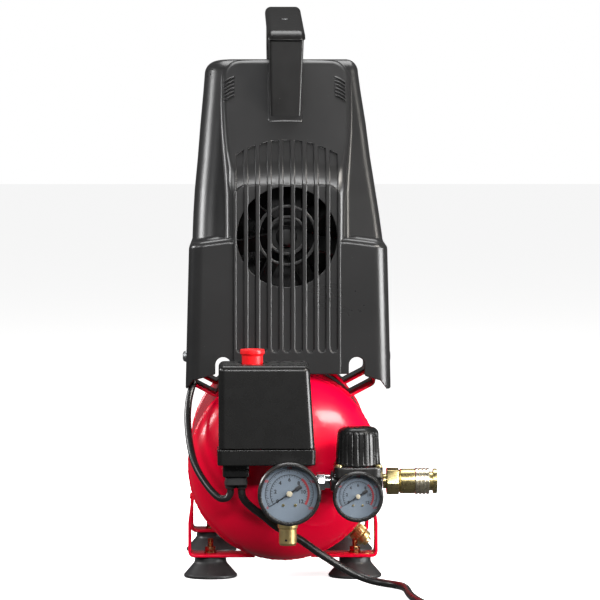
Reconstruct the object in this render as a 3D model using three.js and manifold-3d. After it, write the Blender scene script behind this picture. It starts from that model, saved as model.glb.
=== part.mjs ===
// A small oil-free piston air compressor: a 6 litre tank on suction feet, a direct-drive
// pump under a moulded shroud, and a pressure switch, regulator and two gauges at the front.
// Millimetres, +Z up, the front looks along -Y. Numbers below are in the tank's own frame:
// x = 0 and y = 0 at the middle of the tank, z = 0 at the floor.

import * as THREE from 'three';
import { mergeVertices } from 'three/addons/utils/BufferGeometryUtils.js';
import Module from 'manifold-3d';

const wasm = await Module();
wasm.setup();

// ---------------------------------------------------------------- driving dimensions

const GAP = 0.3; // clearance between pieces that touch on the real machine
const MACHINE_CENTRE = { x: 21.3, y: -33.55 }; // middle of the outline, which becomes the origin

const TANK = { radius: 80, wall: 2.5, halfLength: 129, headDepth: 40, z: 98 };
const STRIP = 2.5; // steel strip of the brackets
const FOOT_BRACKET = { y: 104, width: 32, outerX: 81, plateZ: 18.2, kneeZ: 47.4 };
const FOOT = { x: 62, neck: 13.5, rim: 23, height: 17.9 };
const SADDLE = { y: 83, width: 70, tabX: 79, tabTop: 203, wingZ: 167 };
const BASE_PLATE = { halfWidth: 76.2, halfLength: 112, top: 196.5, flangeBottom: 180 };

const AXIS = { x: 3, z: 292.5 }; // motor, fan and crank turn about this line, along Y
const MOTOR = { radius: 62, front: -73, back: 25, wall: 2.5 };
const SHAFT_RADIUS = 6;
const BEARING = { outer: 13, width: 8 };
const CRANK = { throw: 11, pinRadius: 5 };
const CYLINDER = { y: 62, bore: 25, bottom: 345.2, top: 377 };
const ROD_LENGTH = 62;

const SHROUD = {
  x: 3, wall: 3, front: -146, back: 154, ledge: 290, crease: 345, crestY: -68, crestZ: 445,
  frontHem: 176.6, sideHem: 163.7, grille: { radius: 42.4, halfWidth: 45.2, proud: 1.2 },
};
const GROOVE = { count: 9, width: 6.25, pitch: 9.9, depth: 1.5, bottom: 198.5, top: 374 };

const HANDLE = { slope: 0.1353, kneeY: -108, kneeZ: 470, rise: 24.6, seam: 10.4, halfWidth: 16.3 };

const PIPE = { y: -191, z: 90 }; // centre line of the outlet pipework, along X
const SWITCH = { x: -15, front: -213, back: -171, bottom: 104.7, seam: 118, top: 186.5, halfWidth: 41 };
const SWITCH_KNOB = { x: -26.5, y: -187.5, shaft: 9, flange: 10.2, top: 200.2 };
const MANIFOLD = { x: 3, half: 12, bottom: 64, top: 104.4 };
const LEFT_GAUGE = { x: 3.6, z: 83, radius: 26.2, back: -213.4, depth: 23 };
const RIGHT_GAUGE = { x: 60.3, z: 80.5, radius: 21, back: -212.4, depth: 21.6 };
const REGULATOR = { x: 61.5, bodyRadius: 17, bottom: 60, flangeBottom: 93.5, flangeTop: 103 };
const KNOB = { bottom: 103.3, rim: 130.5, dome: 5.5, lowRadius: 18.7, highRadius: 17.2 };
const COUPLER = { start: 82.3, hexEnd: 95.5, bodyEnd: 108.8, sleeveEnd: 120.9, end: 127.6, radius: 10.4 };
const DRAIN = { y: -72, angle: 134, foot: 80.5 }; // angle from straight up, about Y, in degrees

const CORD_RADIUS = 3.25;
const LEAD_RADIUS = 3;
const COIL = { x: 84, y: -428, inner: 23.2, outer: 47.9, height: 13.3 };
const PLUG = { y: -483, z: 12, reliefStart: 40, start: 18, end: -20, halfWidth: 13.5, halfHeight: 11.8 };

// ---------------------------------------------------------------- materials

const paint = (color, roughness, metalness = 0) =>
  new THREE.MeshStandardMaterial({ color, roughness, metalness });

const RED_PAINT = paint(0xd90b2b, 0.25);
const RED_PLASTIC = paint(0xe5172b, 0.45);
const SHROUD_PLASTIC = paint(0x2d2d2e, 0.42);
const GLOSS_BLACK = paint(0x1a1a1a, 0.25);
const RUBBER = paint(0x1c1c1d, 0.75);
const CORD_BLACK = paint(0x151515, 0.35);
const BRASS = paint(0xc2a14c, 0.3, 1);
const CHROME = paint(0xc9cbcd, 0.15, 1);
const STEEL = paint(0x8d9094, 0.4, 1);
const ALUMINIUM = paint(0xb4b7ba, 0.45, 1);
const COPPER = paint(0xb87333, 0.35, 1);
const DIAL = paint(0xc8cfd6, 0.5);
const CLEAR = paint(0xe8eef2, 0.05);
const INK = paint(0x101010, 0.5);

// ---------------------------------------------------------------- shape helpers

const radians = THREE.MathUtils.degToRad;

/** Shared vertices merged, collapsed triangles dropped and faces turned outward. */
function weld(geometry) {
  const bare = geometry.clone();
  bare.deleteAttribute('normal');
  bare.deleteAttribute('uv');
  const merged = mergeVertices(bare, 1e-4);
  const place = merged.getAttribute('position');
  const corners = Array.from(merged.index.array);
  const kept = [];
  const [a, b, c] = [new THREE.Vector3(), new THREE.Vector3(), new THREE.Vector3()];
  let volume = 0;
  for (let i = 0; i < corners.length; i += 3) {
    const [p, q, r] = corners.slice(i, i + 3);
    if (p === q || q === r || r === p) continue;
    kept.push(p, q, r);
    a.fromBufferAttribute(place, p);
    b.fromBufferAttribute(place, q);
    c.fromBufferAttribute(place, r);
    volume += a.dot(b.cross(c));
  }
  if (volume < 0) kept.reverse();
  merged.setIndex(kept);
  return merged;
}

function solidOf(geometry) {
  const welded = weld(geometry);
  return new wasm.Manifold(new wasm.Mesh({
    numProp: 3,
    vertProperties: Float32Array.from(welded.getAttribute('position').array),
    triVerts: Uint32Array.from(welded.index.array),
  }));
}

function geometryOf(solid) {
  const mesh = solid.getMesh();
  const geometry = new THREE.BufferGeometry();
  geometry.setAttribute('position', new THREE.BufferAttribute(Float32Array.from(mesh.vertProperties), 3));
  geometry.setIndex(Array.from(mesh.triVerts));
  return geometry;
}

const join = (first, ...rest) =>
  geometryOf(rest.reduce((whole, piece) => whole.add(solidOf(piece)), solidOf(first)));

const cut = (body, ...tools) =>
  geometryOf(tools.reduce((left, tool) => left.subtract(solidOf(tool)), solidOf(body)));

const common = (first, ...rest) =>
  geometryOf(rest.reduce((left, piece) => left.intersect(solidOf(piece)), solidOf(first)));

/** Turns a shape made along +Y to lie along another axis. */
function aim(geometry, axis) {
  if (axis === 'x') geometry.rotateZ(-Math.PI / 2);
  if (axis === 'z') geometry.rotateX(Math.PI / 2);
  return geometry;
}

const block = (x0, x1, y0, y1, z0, z1) =>
  new THREE.BoxGeometry(x1 - x0, y1 - y0, z1 - z0)
    .translate((x0 + x1) / 2, (y0 + y1) / 2, (z0 + z1) / 2);

/** A cylinder along an axis between two stations, its centre line through the point at. */
function rod(axis, from, to, radius, at = [0, 0, 0], sides = 16) {
  const shape = new THREE.CylinderGeometry(radius, radius, to - from, sides);
  shape.translate(0, (from + to) / 2, 0);
  return aim(shape, axis).translate(...at);
}

/** A turned piece: profile of [radius, station] pairs about an axis through the point at. */
function turned(axis, profile, at = [0, 0, 0], sides = 24) {
  const points = profile.map(([radius, station]) => new THREE.Vector2(radius, station));
  return aim(new THREE.LatheGeometry(points, sides), axis).translate(...at);
}

const ring = (axis, from, to, inner, outer, at, sides) =>
  turned(axis, [[inner, from], [outer, from], [outer, to], [inner, to], [inner, from]], at, sides);

const shapeOf = (outline) =>
  outline instanceof THREE.Shape ? outline
    : new THREE.Shape(outline.map(([u, v]) => new THREE.Vector2(u, v)));

/** An outline pushed along an axis: (u, v) is (y, z) for x, (x, z) for y and (x, y) for z. */
function prism(axis, outline, from, to, curveSegments = 5) {
  const options = { depth: to - from, bevelEnabled: false, curveSegments };
  const shape = new THREE.ExtrudeGeometry(shapeOf(outline), options);
  if (axis === 'z') return shape.translate(0, 0, from);
  if (axis === 'x') {
    const basis = new THREE.Matrix4().makeBasis(
      new THREE.Vector3(0, 1, 0), new THREE.Vector3(0, 0, 1), new THREE.Vector3(1, 0, 0));
    return shape.applyMatrix4(basis).translate(from, 0, 0);
  }
  return shape.rotateX(Math.PI / 2).translate(0, to, 0);
}

/** A rectangle with round corners; lower corners may have their own radius. */
function roundRectangle(u0, u1, v0, v1, upper, lower = upper) {
  const shape = new THREE.Shape();
  shape.moveTo(u0 + lower, v0);
  shape.lineTo(u1 - lower, v0);
  if (lower) shape.absarc(u1 - lower, v0 + lower, lower, -Math.PI / 2, 0);
  shape.lineTo(u1, v1 - upper);
  shape.absarc(u1 - upper, v1 - upper, upper, 0, Math.PI / 2);
  shape.lineTo(u0 + upper, v1);
  shape.absarc(u0 + upper, v1 - upper, upper, Math.PI / 2, Math.PI);
  shape.lineTo(u0, v0 + lower);
  if (lower) shape.absarc(u0 + lower, v0 + lower, lower, Math.PI, 1.5 * Math.PI);
  return shape;
}

/** A hexagon by its size across the flats, with a corner along +u. */
const hexagon = (acrossFlats, u = 0, v = 0) =>
  [0, 60, 120, 180, 240, 300].map((turn) => [
    u + acrossFlats / Math.sqrt(3) * Math.cos(radians(turn)),
    v + acrossFlats / Math.sqrt(3) * Math.sin(radians(turn)),
  ]);

/** Rounds the inner corners of an open path with short arcs. */
function eased(path, radius, steps = 4) {
  const points = path.map(([u, v]) => new THREE.Vector2(u, v));
  const made = [points[0]];
  for (let i = 1; i < points.length - 1; i++) {
    const [before, corner, after] = [points[i - 1], points[i], points[i + 1]];
    const into = before.clone().sub(corner);
    const out = after.clone().sub(corner);
    const reach = Math.min(radius, into.length() / 2, out.length() / 2);
    const start = corner.clone().add(into.setLength(reach));
    const end = corner.clone().add(out.setLength(reach));
    made.push(...new THREE.QuadraticBezierCurve(start, corner, end).getPoints(steps));
  }
  made.push(points.at(-1));
  return made;
}

/** The outline of a strip of even thickness along an open path. */
function strip(path, thickness) {
  const sides = [[], []];
  path.forEach((point, i) => {
    const into = point.clone().sub(path[Math.max(i - 1, 0)]).normalize();
    const out = path[Math.min(i + 1, path.length - 1)].clone().sub(point).normalize();
    const along = into.clone().add(out).normalize();
    const straight = i === 0 ? out : into;
    const half = thickness / 2 / Math.max(along.dot(straight), 0.4);
    const across = new THREE.Vector2(-along.y, along.x).multiplyScalar(half);
    sides[0].push(point.clone().add(across));
    sides[1].unshift(point.clone().sub(across));
  });
  return new THREE.Shape([...sides[0], ...sides[1]]);
}

/** A closed body through outlines of equal length, each a list of [x, y, z], capped flat. */
function loft(sections) {
  const count = sections[0].length;
  const points = sections.flat();
  const corners = [];
  for (let level = 0; level < sections.length - 1; level++) {
    for (let i = 0; i < count; i++) {
      const [a, b] = [level * count + i, level * count + (i + 1) % count];
      corners.push(a, b, b + count, a, b + count, a + count);
    }
  }
  for (const level of [0, sections.length - 1]) {
    const start = level * count;
    for (let i = 1; i < count - 1; i++) {
      const fan = [start, start + i, start + i + 1];
      corners.push(...(level === 0 ? fan.reverse() : fan));
    }
  }
  const geometry = new THREE.BufferGeometry();
  geometry.setAttribute('position', new THREE.Float32BufferAttribute(points.flat(), 3));
  geometry.setIndex(corners);
  return geometry;
}

/** A round bar along a smooth curve through points. */
function bar(points, radius, steps, sides = 8) {
  const route = new THREE.CatmullRomCurve3(points.map((p) => new THREE.Vector3(...p)), false, 'centripetal');
  const section = new THREE.Shape(Array.from({ length: sides }, (_, i) =>
    new THREE.Vector2(radius * Math.cos(2 * Math.PI * i / sides), radius * Math.sin(2 * Math.PI * i / sides))));
  return new THREE.ExtrudeGeometry(section, { steps, bevelEnabled: false, extrudePath: route });
}

/** Mirrors the right half of an outline, given from bottom to top, to make it whole. */
const bothSides = (half) => [...half, ...half.map(([u, v]) => [-u, v]).reverse()];

function part(name, geometry, material) {
  const mesh = new THREE.Mesh(weld(geometry), material);
  mesh.name = name;
  return mesh;
}

function group(children, position = [0, 0, 0]) {
  const made = new THREE.Group();
  made.add(...children);
  made.position.set(...position);
  return made;
}

// ---------------------------------------------------------------- tank

/** An elliptical dish, twice as wide as deep, opening toward -Y, its rim at y = 0. */
function dish() {
  const inner = { radius: TANK.radius - TANK.wall, depth: TANK.headDepth - TANK.wall };
  const outside = [0, 18, 36, 54, 72, 90].map(radians)
    .map((t) => [TANK.radius * Math.sin(t), TANK.headDepth * Math.cos(t)]);
  const inside = [90, 60, 30, 0].map(radians)
    .map((t) => [inner.radius * Math.sin(t), inner.depth * Math.cos(t)]);
  return turned('y', [...outside, ...inside], [0, 0, 0], 40);
}

function tank() {
  const r = TANK.radius;
  const rim = TANK.halfLength + GAP;
  const drainHole = rod('z', r - 8, r + 8, 3.5, [0, DRAIN.y, 0], 16).rotateY(radians(DRAIN.angle));
  const inletHole = rod('z', r - 8, r + 8, 4, [0, 0, 0], 16);
  const barrel = cut(
    ring('y', -TANK.halfLength, TANK.halfLength, r - TANK.wall, r, [0, 0, 0], 40), drainHole, inletHole);
  const port = [MANIFOLD.x, 0, PIPE.z - TANK.z];
  const frontHead = cut(
    join(dish().rotateZ(Math.PI).translate(0, -rim, 0), rod('y', -175, -166.6, 13, port)),
    rod('y', -180, -150, 6.9, port));
  return group([
    part('tank_barrel', barrel, RED_PAINT),
    part('tank_front_head', frontHead, RED_PAINT),
    part('tank_rear_head', dish().translate(0, rim, 0), RED_PAINT),
  ], [0, 0, TANK.z]);
}

// ---------------------------------------------------------------- brackets and feet

/** Half a foot bracket: down from the tank's side, round the knee and in under the tank. */
function footBracket(side, y) {
  const { outerX, plateZ, kneeZ, width } = FOOT_BRACKET;
  const x = outerX - STRIP / 2;
  const path = eased([[76.9, 69.4], [x, kneeZ], [x, plateZ + STRIP / 2], [24, plateZ + STRIP / 2]], 4.5);
  const whole = prism('y', strip(path, STRIP), y - width / 2, y + width / 2);
  const drilled = cut(whole, rod('z', 10, 30, 3.3, [FOOT.x, y, 0], 16));
  return side > 0 ? drilled : drilled.scale(-1, 1, 1);
}

function suctionFoot() {
  const { neck, rim, height } = FOOT;
  return turned('z', [
    [0, height], [neck, height], [neck, 12.4], [rim - 0.6, 3.4],
    [rim, 1.6], [rim - 1.2, 0], [19, 0], [12, 3.4], [0, 4.2],
  ], [0, 0, 0], 20);
}

function stand() {
  const made = [];
  for (const [end, y] of [['front', -FOOT_BRACKET.y], ['rear', FOOT_BRACKET.y]]) {
    for (const [hand, side] of [['left', -1], ['right', 1]]) {
      made.push(part(`foot_bracket_${end}_${hand}`, footBracket(side, y), RED_PAINT));
      const foot = part(`suction_foot_${end}_${hand}`, suctionFoot(), RUBBER);
      foot.position.set(side * FOOT.x, y, 0);
      made.push(foot);
    }
  }
  return group(made);
}

/** A strip that hugs the top of the tank and rises at both sides to a screw tab. */
function saddle(y) {
  const middle = TANK.radius + GAP + 0.25 + STRIP / 2;
  const x = SADDLE.tabX - STRIP / 2;
  const over = Array.from({ length: 13 }, (_, i) => {
    const turn = radians(45.5 + i * 89 / 12);
    return new THREE.Vector2(middle * Math.cos(turn), TANK.z + middle * Math.sin(turn));
  });
  const wing = eased([[x, SADDLE.tabTop], [x, SADDLE.wingZ], [over[0].x, over[0].y]], 5);
  const left = wing.slice(0, -1).map((p) => new THREE.Vector2(-p.x, p.y)).reverse();
  const path = [...wing.slice(0, -1), ...over, ...left];
  return prism('y', strip(path, STRIP), y - SADDLE.width / 2, y + SADDLE.width / 2);
}

function motorBase() {
  const { halfWidth, halfLength, top, flangeBottom } = BASE_PLATE;
  const x = halfWidth - STRIP / 2;
  const z = top - STRIP / 2;
  const path = eased([[-x, flangeBottom], [-x, z], [x, z], [x, flangeBottom]], 4, 3);
  const plate = prism('y', strip(path, STRIP), -halfLength, halfLength);
  return cut(plate, block(-20, 20, -24, 24, 185, 205));
}

// ---------------------------------------------------------------- motor and pump

function motorHousing() {
  const { radius, front, back, wall } = MOTOR;
  const bore = BEARING.outer + GAP;
  const can = turned('y', [
    [bore, front], [radius, front], [radius, back], [radius - wall, back],
    [radius - wall, front + wall], [bore, front + wall], [bore, front],
  ], [0, 0, 0], 28);
  const vents = [0, 60, 120, 180, 240, 300].map((turn) =>
    rod('y', front - 5, front + 8, 8, [38 * Math.cos(radians(turn)), 0, 38 * Math.sin(radians(turn))], 10));
  const feet = [[-50, -1], [-50, 1], [16, -1], [16, 1]].map(([y, side]) =>
    block(side * 24 - 8, side * 24 + 8, y - 8, y + 8, BASE_PLATE.top + GAP - AXIS.z, -50));
  const hollow = rod('y', front + wall, back + 5, radius - wall, [0, 0, 0], 28);
  return cut(join(can, ...feet), ...vents, hollow);
}

function fan() {
  const blades = Array.from({ length: 7 }, (_, i) => {
    const blade = new THREE.BoxGeometry(2, 20, 34).rotateZ(radians(38)).translate(0, -118, 29);
    return blade.rotateY(radians(i * 360 / 7));
  });
  const hub = ring('y', -128, -111, SHAFT_RADIUS + GAP, 15, [0, 0, 0], 24);
  return cut(join(hub, ...blades), rod('y', -140, -100, SHAFT_RADIUS + GAP));
}

function crankcase() {
  const back = MOTOR.back + GAP;
  const shell = turned('y', [
    [BEARING.outer + GAP, back], [52, back], [52, 84], [48.5, 84],
    [48.5, back + 4], [18, back + 4], [18, back + 9], [BEARING.outer + GAP, back + 9],
    [BEARING.outer + GAP, back],
  ], [0, 0, 0], 24);
  const neck = rod('z', 40, CYLINDER.bottom - GAP - AXIS.z, 33, [0, CYLINDER.y, 0], 24);
  const bore = rod('z', 20, 60, CYLINDER.bore + 0.6, [0, CYLINDER.y, 0], 24);
  const inside = rod('y', back + 4, 84, 48.5, [0, 0, 0], 24);
  const opening = block(-40, 40, 84, 100, 20, 60);
  const foot = block(-24, 24, 52, 76, BASE_PLATE.top + GAP - AXIS.z, -49);
  return cut(join(shell, cut(neck, inside, opening), cut(foot, inside)), bore);
}

/** Hub, counterweight and the crank pin, which stops short of the rod's big end. */
function crank() {
  const hub = rod('y', 44, 54, 16);
  const outline = new THREE.Shape();
  outline.absarc(0, 0, 36, radians(200), radians(340));
  outline.lineTo(0, -4);
  const weight = prism('y', outline, 45, 54);
  const pin = rod('y', 53, 57, CRANK.pinRadius, [0, 0, CRANK.throw], 16);
  return cut(join(hub, weight, pin), rod('y', 40, 53, SHAFT_RADIUS + GAP));
}

/** One-piece rod and cup piston, drawn at the top of its stroke. */
function piston() {
  const eye = CRANK.throw;
  const crown = eye + ROD_LENGTH;
  const big = rod('y', -4.5, 4.5, 13, [0, 0, eye], 20);
  const shank = block(-6, 6, -4, 4, eye + 8, crown + 1);
  const cup = rod('z', crown - 3, crown + 6, CYLINDER.bore - 0.5, [0, 0, 0], 24);
  return cut(join(big, shank, cup), rod('y', -10, 10, 8, [0, 0, eye], 20)).translate(0, CYLINDER.y, 0);
}

function pumpCylinder() {
  const { bore, bottom, top } = CYLINDER;
  const profile = [[bore, bottom], [bore + 6, bottom], [bore + 6, bottom + 4]];
  for (let z = bottom + 4; z < top - 8; z += 9) {
    profile.push([bore + 3.5, z], [bore + 3.5, z + 5.5], [bore + 11, z + 5.5], [bore + 11, z + 9]);
  }
  profile.push([bore + 3.5, top], [bore, top], [bore, bottom]);
  return turned('z', profile.map(([r, z]) => [r, z - AXIS.z]), [0, CYLINDER.y, 0], 24);
}

function cylinderHead() {
  const base = CYLINDER.top + GAP - AXIS.z;
  const body = rod('z', base, base + 14, 36, [0, CYLINDER.y, 0], 24);
  const hollow = rod('z', base - 5, base + 9, 24, [0, CYLINDER.y, 0], 20);
  const fins = [-24, -12, 0, 12, 24].map((x) =>
    block(x - 1.5, x + 1.5, CYLINDER.y - 25, CYLINDER.y + 25, base + 10, base + 24));
  const outlet = rod('x', -40, -20, 6, [0, CYLINDER.y, base + 7], 16);
  return cut(join(body, ...fins, outlet), hollow);
}

function pump() {
  const front = MOTOR.front - 1;
  return group([
    part('motor_housing', motorHousing(), GLOSS_BLACK),
    part('motor_stator', ring('y', -50, 14, 32, MOTOR.radius - MOTOR.wall - GAP - 0.4, [0, 0, 0], 28), COPPER),
    part('rotor_core', ring('y', -48, 12, SHAFT_RADIUS + GAP, 31, [0, 0, 0], 24), STEEL),
    part('motor_shaft', rod('y', -127, 52, SHAFT_RADIUS, [0, 0, 0], 20), STEEL),
    part('front_bearing', ring('y', front, front + BEARING.width, SHAFT_RADIUS + GAP, BEARING.outer), STEEL),
    part('rear_bearing', ring('y', MOTOR.back + 1, MOTOR.back + 1 + BEARING.width, SHAFT_RADIUS + GAP, BEARING.outer), STEEL),
    part('cooling_fan', fan(), GLOSS_BLACK),
    part('crankcase', crankcase(), ALUMINIUM),
    part('crank', crank(), STEEL),
    part('piston_and_rod', piston(), ALUMINIUM),
    part('pump_cylinder', pumpCylinder(), ALUMINIUM),
    part('cylinder_head', cylinderHead(), ALUMINIUM),
    part('air_filter', rod('x', 36.4, 58, 17, [0, CYLINDER.y, 88], 24), GLOSS_BLACK),
  ], [AXIS.x, 0, AXIS.z]);
}

/** Delivery pipe from the cylinder head down beside the motor to the tank's check valve. */
function dischargeTube() {
  return bar([
    [-37.4, 62, 384.3], [-44, 62, 384.3], [-53, 58, 379], [-59, 48, 362], [-63, 36, 335],
    [-65.5, 26, 300], [-66, 16, 262], [-60, 6, 230], [-44, 1, 213], [-24, 0, 207], [-14.4, 0, 206],
  ], 4, 28, 7);
}

function checkValve() {
  const foot = TANK.z + TANK.radius + 0.4;
  const hex = prism('z', hexagon(18), foot, 202);
  return join(hex, rod('z', 200, 216, 8, [0, 0, 0], 20), rod('x', -14, 0, 6, [0, 0, 206], 16));
}

// ---------------------------------------------------------------- shroud

/** A rounded rectangle at one height: half width, front and back edges, corner radius. */
function level(z, half, front, back, radius) {
  const points = roundRectangle(-half, half, front, back, radius * 0.7, radius).getPoints(3);
  return points.slice(0, -1).map((p) => [p.x, p.y, z]);
}

/** The hood with its shoulders, which lean back from the ledge to the crest. */
function hood(inset) {
  const rows = [[140, 84, -132], [290, 81.3, -132], [340, 77.8, -112.7], [432, 67.5, -77.1], [460, 64.4, -66.3]];
  const column = loft(rows.map(([z, half, front]) =>
    level(z, half - inset, front + inset, 150 - inset, 30 - inset)));
  const { crestY, crestZ } = SHROUD;
  const top = crestZ - inset;
  const sideView = [
    [-160, 130], [-160, top - 12], [crestY - 8, top - 4], [crestY - 3, top - 0.8], [crestY + 3, top],
    [crestY + 12, top - 1.6], [0, top - 17], [100, top - 32], [132, top - 42], [146, top - 58],
    [151 - inset, top - 80], [160, 130],
  ];
  const frontView = roundRectangle(-68.5 + inset, 68.5 - inset, 200, top, 14, 0);
  const shoulders = prism('y', frontView, -170, 170);
  const below = block(-100, 100, -170, 170, 130, 425);
  return common(column, prism('x', sideView, -100, 100), join(shoulders, below));
}

/** The wider housing below the ledge. */
function lowerHousing(inset) {
  const { front, back, ledge } = SHROUD;
  const rows = [[140, 88], [ledge - 6, 83.6], [ledge - 2 - inset, 82.6], [ledge - inset, 80.2]];
  const steps = [0, 0, 0.9, 3.4];
  return loft(rows.map(([z, half], i) =>
    level(z, half - inset, front + steps[i] + inset, back - steps[i] - inset, 11 - inset)));
}

/** The proud centre panel: upright over the grille, leaning back above the crease. */
function bonnet(inset) {
  const { front, crease } = SHROUD;
  const wide = (y) => 51 - inset + 0.13 * (y - front);
  const outline = (y) => roundRectangle(-wide(y), wide(y), 140, 446 - inset, 16, 0.5)
    .getPoints(3).slice(0, -1).map((p) => [p.x, y, p.y]);
  const block3 = loft([outline(-160), outline(-50)].reverse());
  const slide = inset * 1.25;
  const sideView = [
    [front + inset, 130], [front + inset, crease - 9], [front + inset + 1.5, crease - 3],
    [front + inset + 5, crease + 3.4], [-74 + slide, 442 - inset], [-69 + slide, 445.6 - inset],
    [-61, 445 - inset], [-40, 438 - inset], [-40, 130],
  ];
  return common(block3, prism('x', sideView, -70, 70));
}

function shroudBody(inset) {
  return join(hood(inset), lowerHousing(inset), bonnet(inset));
}

/** The nine grooves of the grille as upright strips, their tops on an arc. */
function grooveStrips() {
  const { count, width, pitch, bottom, top } = GROOVE;
  return Array.from({ length: count }, (_, i) => {
    const x = (i - (count - 1) / 2) * pitch;
    const high = (u) => top - 0.0065 * (u - 1) ** 2;
    const shape = new THREE.Shape();
    shape.absarc(x, bottom, width / 2, Math.PI, 2 * Math.PI);
    shape.lineTo(x + width / 2, high(x + width / 2));
    shape.lineTo(x - width / 2, high(x - width / 2));
    return prism('y', shape, -160, -60, 3);
  });
}

function shroud() {
  const { front, crease, grille, wall, frontHem, sideHem } = SHROUD;
  const proud = front - grille.proud;
  const panel = prism('y', roundRectangle(-grille.halfWidth, grille.halfWidth, 140, 337, 11, 0), proud, front + 2);
  const shell = cut(join(shroudBody(0), panel), shroudBody(wall));
  const floorLine = [
    [proud + GROOVE.depth, 130], [proud + GROOVE.depth, crease - 9], [front + 2.6, crease - 2.4],
    [front + 6.4, crease + 3.2], [-72.4, 442], [-40, 460], [-40, 130],
  ];
  const floor = prism('x', floorLine, -70, 70);
  const opening = rod('y', front - 10, front + 10, grille.radius, [0, 0, AXIS.z], 36);
  const strips = grooveStrips();
  const grooves = strips.map((groove) => cut(groove, floor));
  const slots = strips.map((groove) => common(groove, opening));
  const rings = [[26, 23.2], [17, 14.2]].map(([outer, inner]) =>
    ring('y', front + 0.6, front + wall - 0.2, inner, outer, [0, 0, AXIS.z + 1.5], 24));
  const hem = block(-81, 81, -200, 200, 130, frontHem);
  const skirt = block(-120, 120, -200, 200, 100, sideHem);
  const notches = [-59, 59].map((x) =>
    prism('y', roundRectangle(x - 6.5, x + 6.5, 150, 191, 6.4, 0), front - 10, front + 10));
  const vents = [0, 1, 2, 3, 4, 5].flatMap((i) => [-1, 1].map((side) =>
    block(side > 0 ? 46 : -54 - i * 0.6, side > 0 ? 54 + i * 0.6 : -46, -120, -70, 407 + i * 4, 408.7 + i * 4)));
  return join(cut(shell, ...grooves, ...slots, hem, skirt, ...notches, ...vents), ...rings);
}

// ---------------------------------------------------------------- carrying handle

/** Outline of the whole handle from the side, and the line where its cover meets its frame. */
function handleViews() {
  const { slope, kneeY, kneeZ, rise, seam } = HANDLE;
  const onTop = (y) => kneeZ + slope * (y - kneeY);
  const roof = (y) => (y < 0 ? 428 - y * 0.2 : 428 - y * 0.15) + 0.6;
  const panel = (y) => 348.8 + (y + 141) * 1.397;
  const seamLine = (y, lift = 0) => [y, kneeZ - seam + slope * (y + 117) + lift];
  const frame = [
    [-110.4, panel(-110.4)], [-86, panel(-86)], [-86, 440], [-83.5, 446], [-77, onTop(-77) - rise],
    [48, onTop(48) - rise], [56, onTop(56) - rise - 2], [61, onTop(61) - rise - 10], [62, roof(62)],
    [97, roof(97)], [97, seamLine(97)[1]], seamLine(-114.5),
  ];
  const cover = [
    seamLine(-116, GAP), seamLine(98, GAP), [96, onTop(96) - 7], [90, onTop(90) - 2.4], [80, onTop(80)],
    [kneeY + 6, onTop(kneeY + 6)], [kneeY - 1, onTop(kneeY) - 1], [kneeY - 5.4, onTop(kneeY) - 4],
  ];
  return { frame, cover, onTop };
}

function handle() {
  const { frame, cover, onTop } = handleViews();
  const frameFront = bothSides([[13.1, 385], [15.2, 460], [15.2, 500]]);
  const coverSection = roundRectangle(-HANDLE.halfWidth, HANDLE.halfWidth, -30, 0, 5.5, 0);
  const coverBar = prism('y', coverSection, -30, 220)
    .rotateX(Math.atan(HANDLE.slope)).translate(0, HANDLE.kneeY, HANDLE.kneeZ);
  const screwHole = rod('z', onTop(-15) - 5, 500, 4, [0, -15, 0], 16);
  return [
    part('handle_frame', common(prism('x', frame, -20, 20), prism('y', frameFront, -130, 110)), SHROUD_PLASTIC),
    part('handle_cover', cut(common(prism('x', cover, -20, 20), coverBar), screwHole), SHROUD_PLASTIC),
  ];
}

const hull = () => group([part('shroud', shroud(), SHROUD_PLASTIC), ...handle()], [SHROUD.x, 0, 0]);

// ---------------------------------------------------------------- pressure switch

/** The switch cover, narrower at its top, which rises a little toward the back. */
function switchCover() {
  const outline = (z, half, front, back, radius) =>
    level(0, half, front, back, radius).map(([x, y]) => [x, y, z + Math.max(z - 150, 0) * 0.0022 * (y - front)]);
  const { front, back, seam, top } = SWITCH;
  const outer = loft([
    outline(seam + GAP, 40, front + 0.6, back - 0.6, 6),
    outline(top - 2, 36.9, front + 2.6, back - 2, 6),
    outline(top, 35.4, front + 4.4, back - 3.4, 5),
  ]);
  const inner = loft([
    outline(seam - 5, 37.6, front + 3, back - 3, 4),
    outline(top - 3, 34.4, front + 5.2, back - 4.6, 4),
  ]);
  const hole = rod('z', top - 12, top + 20, SWITCH_KNOB.shaft + 0.5, [SWITCH_KNOB.x - SWITCH.x, SWITCH_KNOB.y, 0]);
  return cut(outer, inner, hole);
}

function switchBase() {
  const { front, back, bottom, seam, halfWidth } = SWITCH;
  const tray = prism('z', roundRectangle(-halfWidth, halfWidth, front, back, 5), bottom, seam);
  const cableBox = block(-36.3, -14.3, -201, -177, 94, bottom + 2);
  return join(tray, cableBox);
}

function switchKnob() {
  const { shaft, flange, top } = SWITCH_KNOB;
  return turned('z', [
    [0, top - 1.6], [flange - 4, top - 1.6], [flange - 3, top], [flange - 0.6, top], [flange, top - 0.8],
    [flange, top - 4], [shaft, top - 4.4], [shaft, 177], [0, 177],
  ], [SWITCH_KNOB.x, SWITCH_KNOB.y, 0], 24);
}

/** Rubber grommet with a short sleeve for each of the two leads. */
function cableGland() {
  const body = prism('z', roundRectangle(-49.4, -31, -198, -180, 3), 87, 94 - GAP);
  const sleeves = [-44.8, -35.6].map((x) => rod('z', 83.6, 90, 4.3, [x, -189, 0], 16));
  return join(body, ...sleeves);
}

function pressureSwitch() {
  const made = [part('switch_base', switchBase(), GLOSS_BLACK), part('switch_cover', switchCover(), GLOSS_BLACK)];
  return group([
    group(made, [SWITCH.x, 0, 0]),
    part('switch_knob', switchKnob(), RED_PLASTIC),
    part('cable_gland', cableGland(), RUBBER),
  ]);
}

// ---------------------------------------------------------------- pipework

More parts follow.
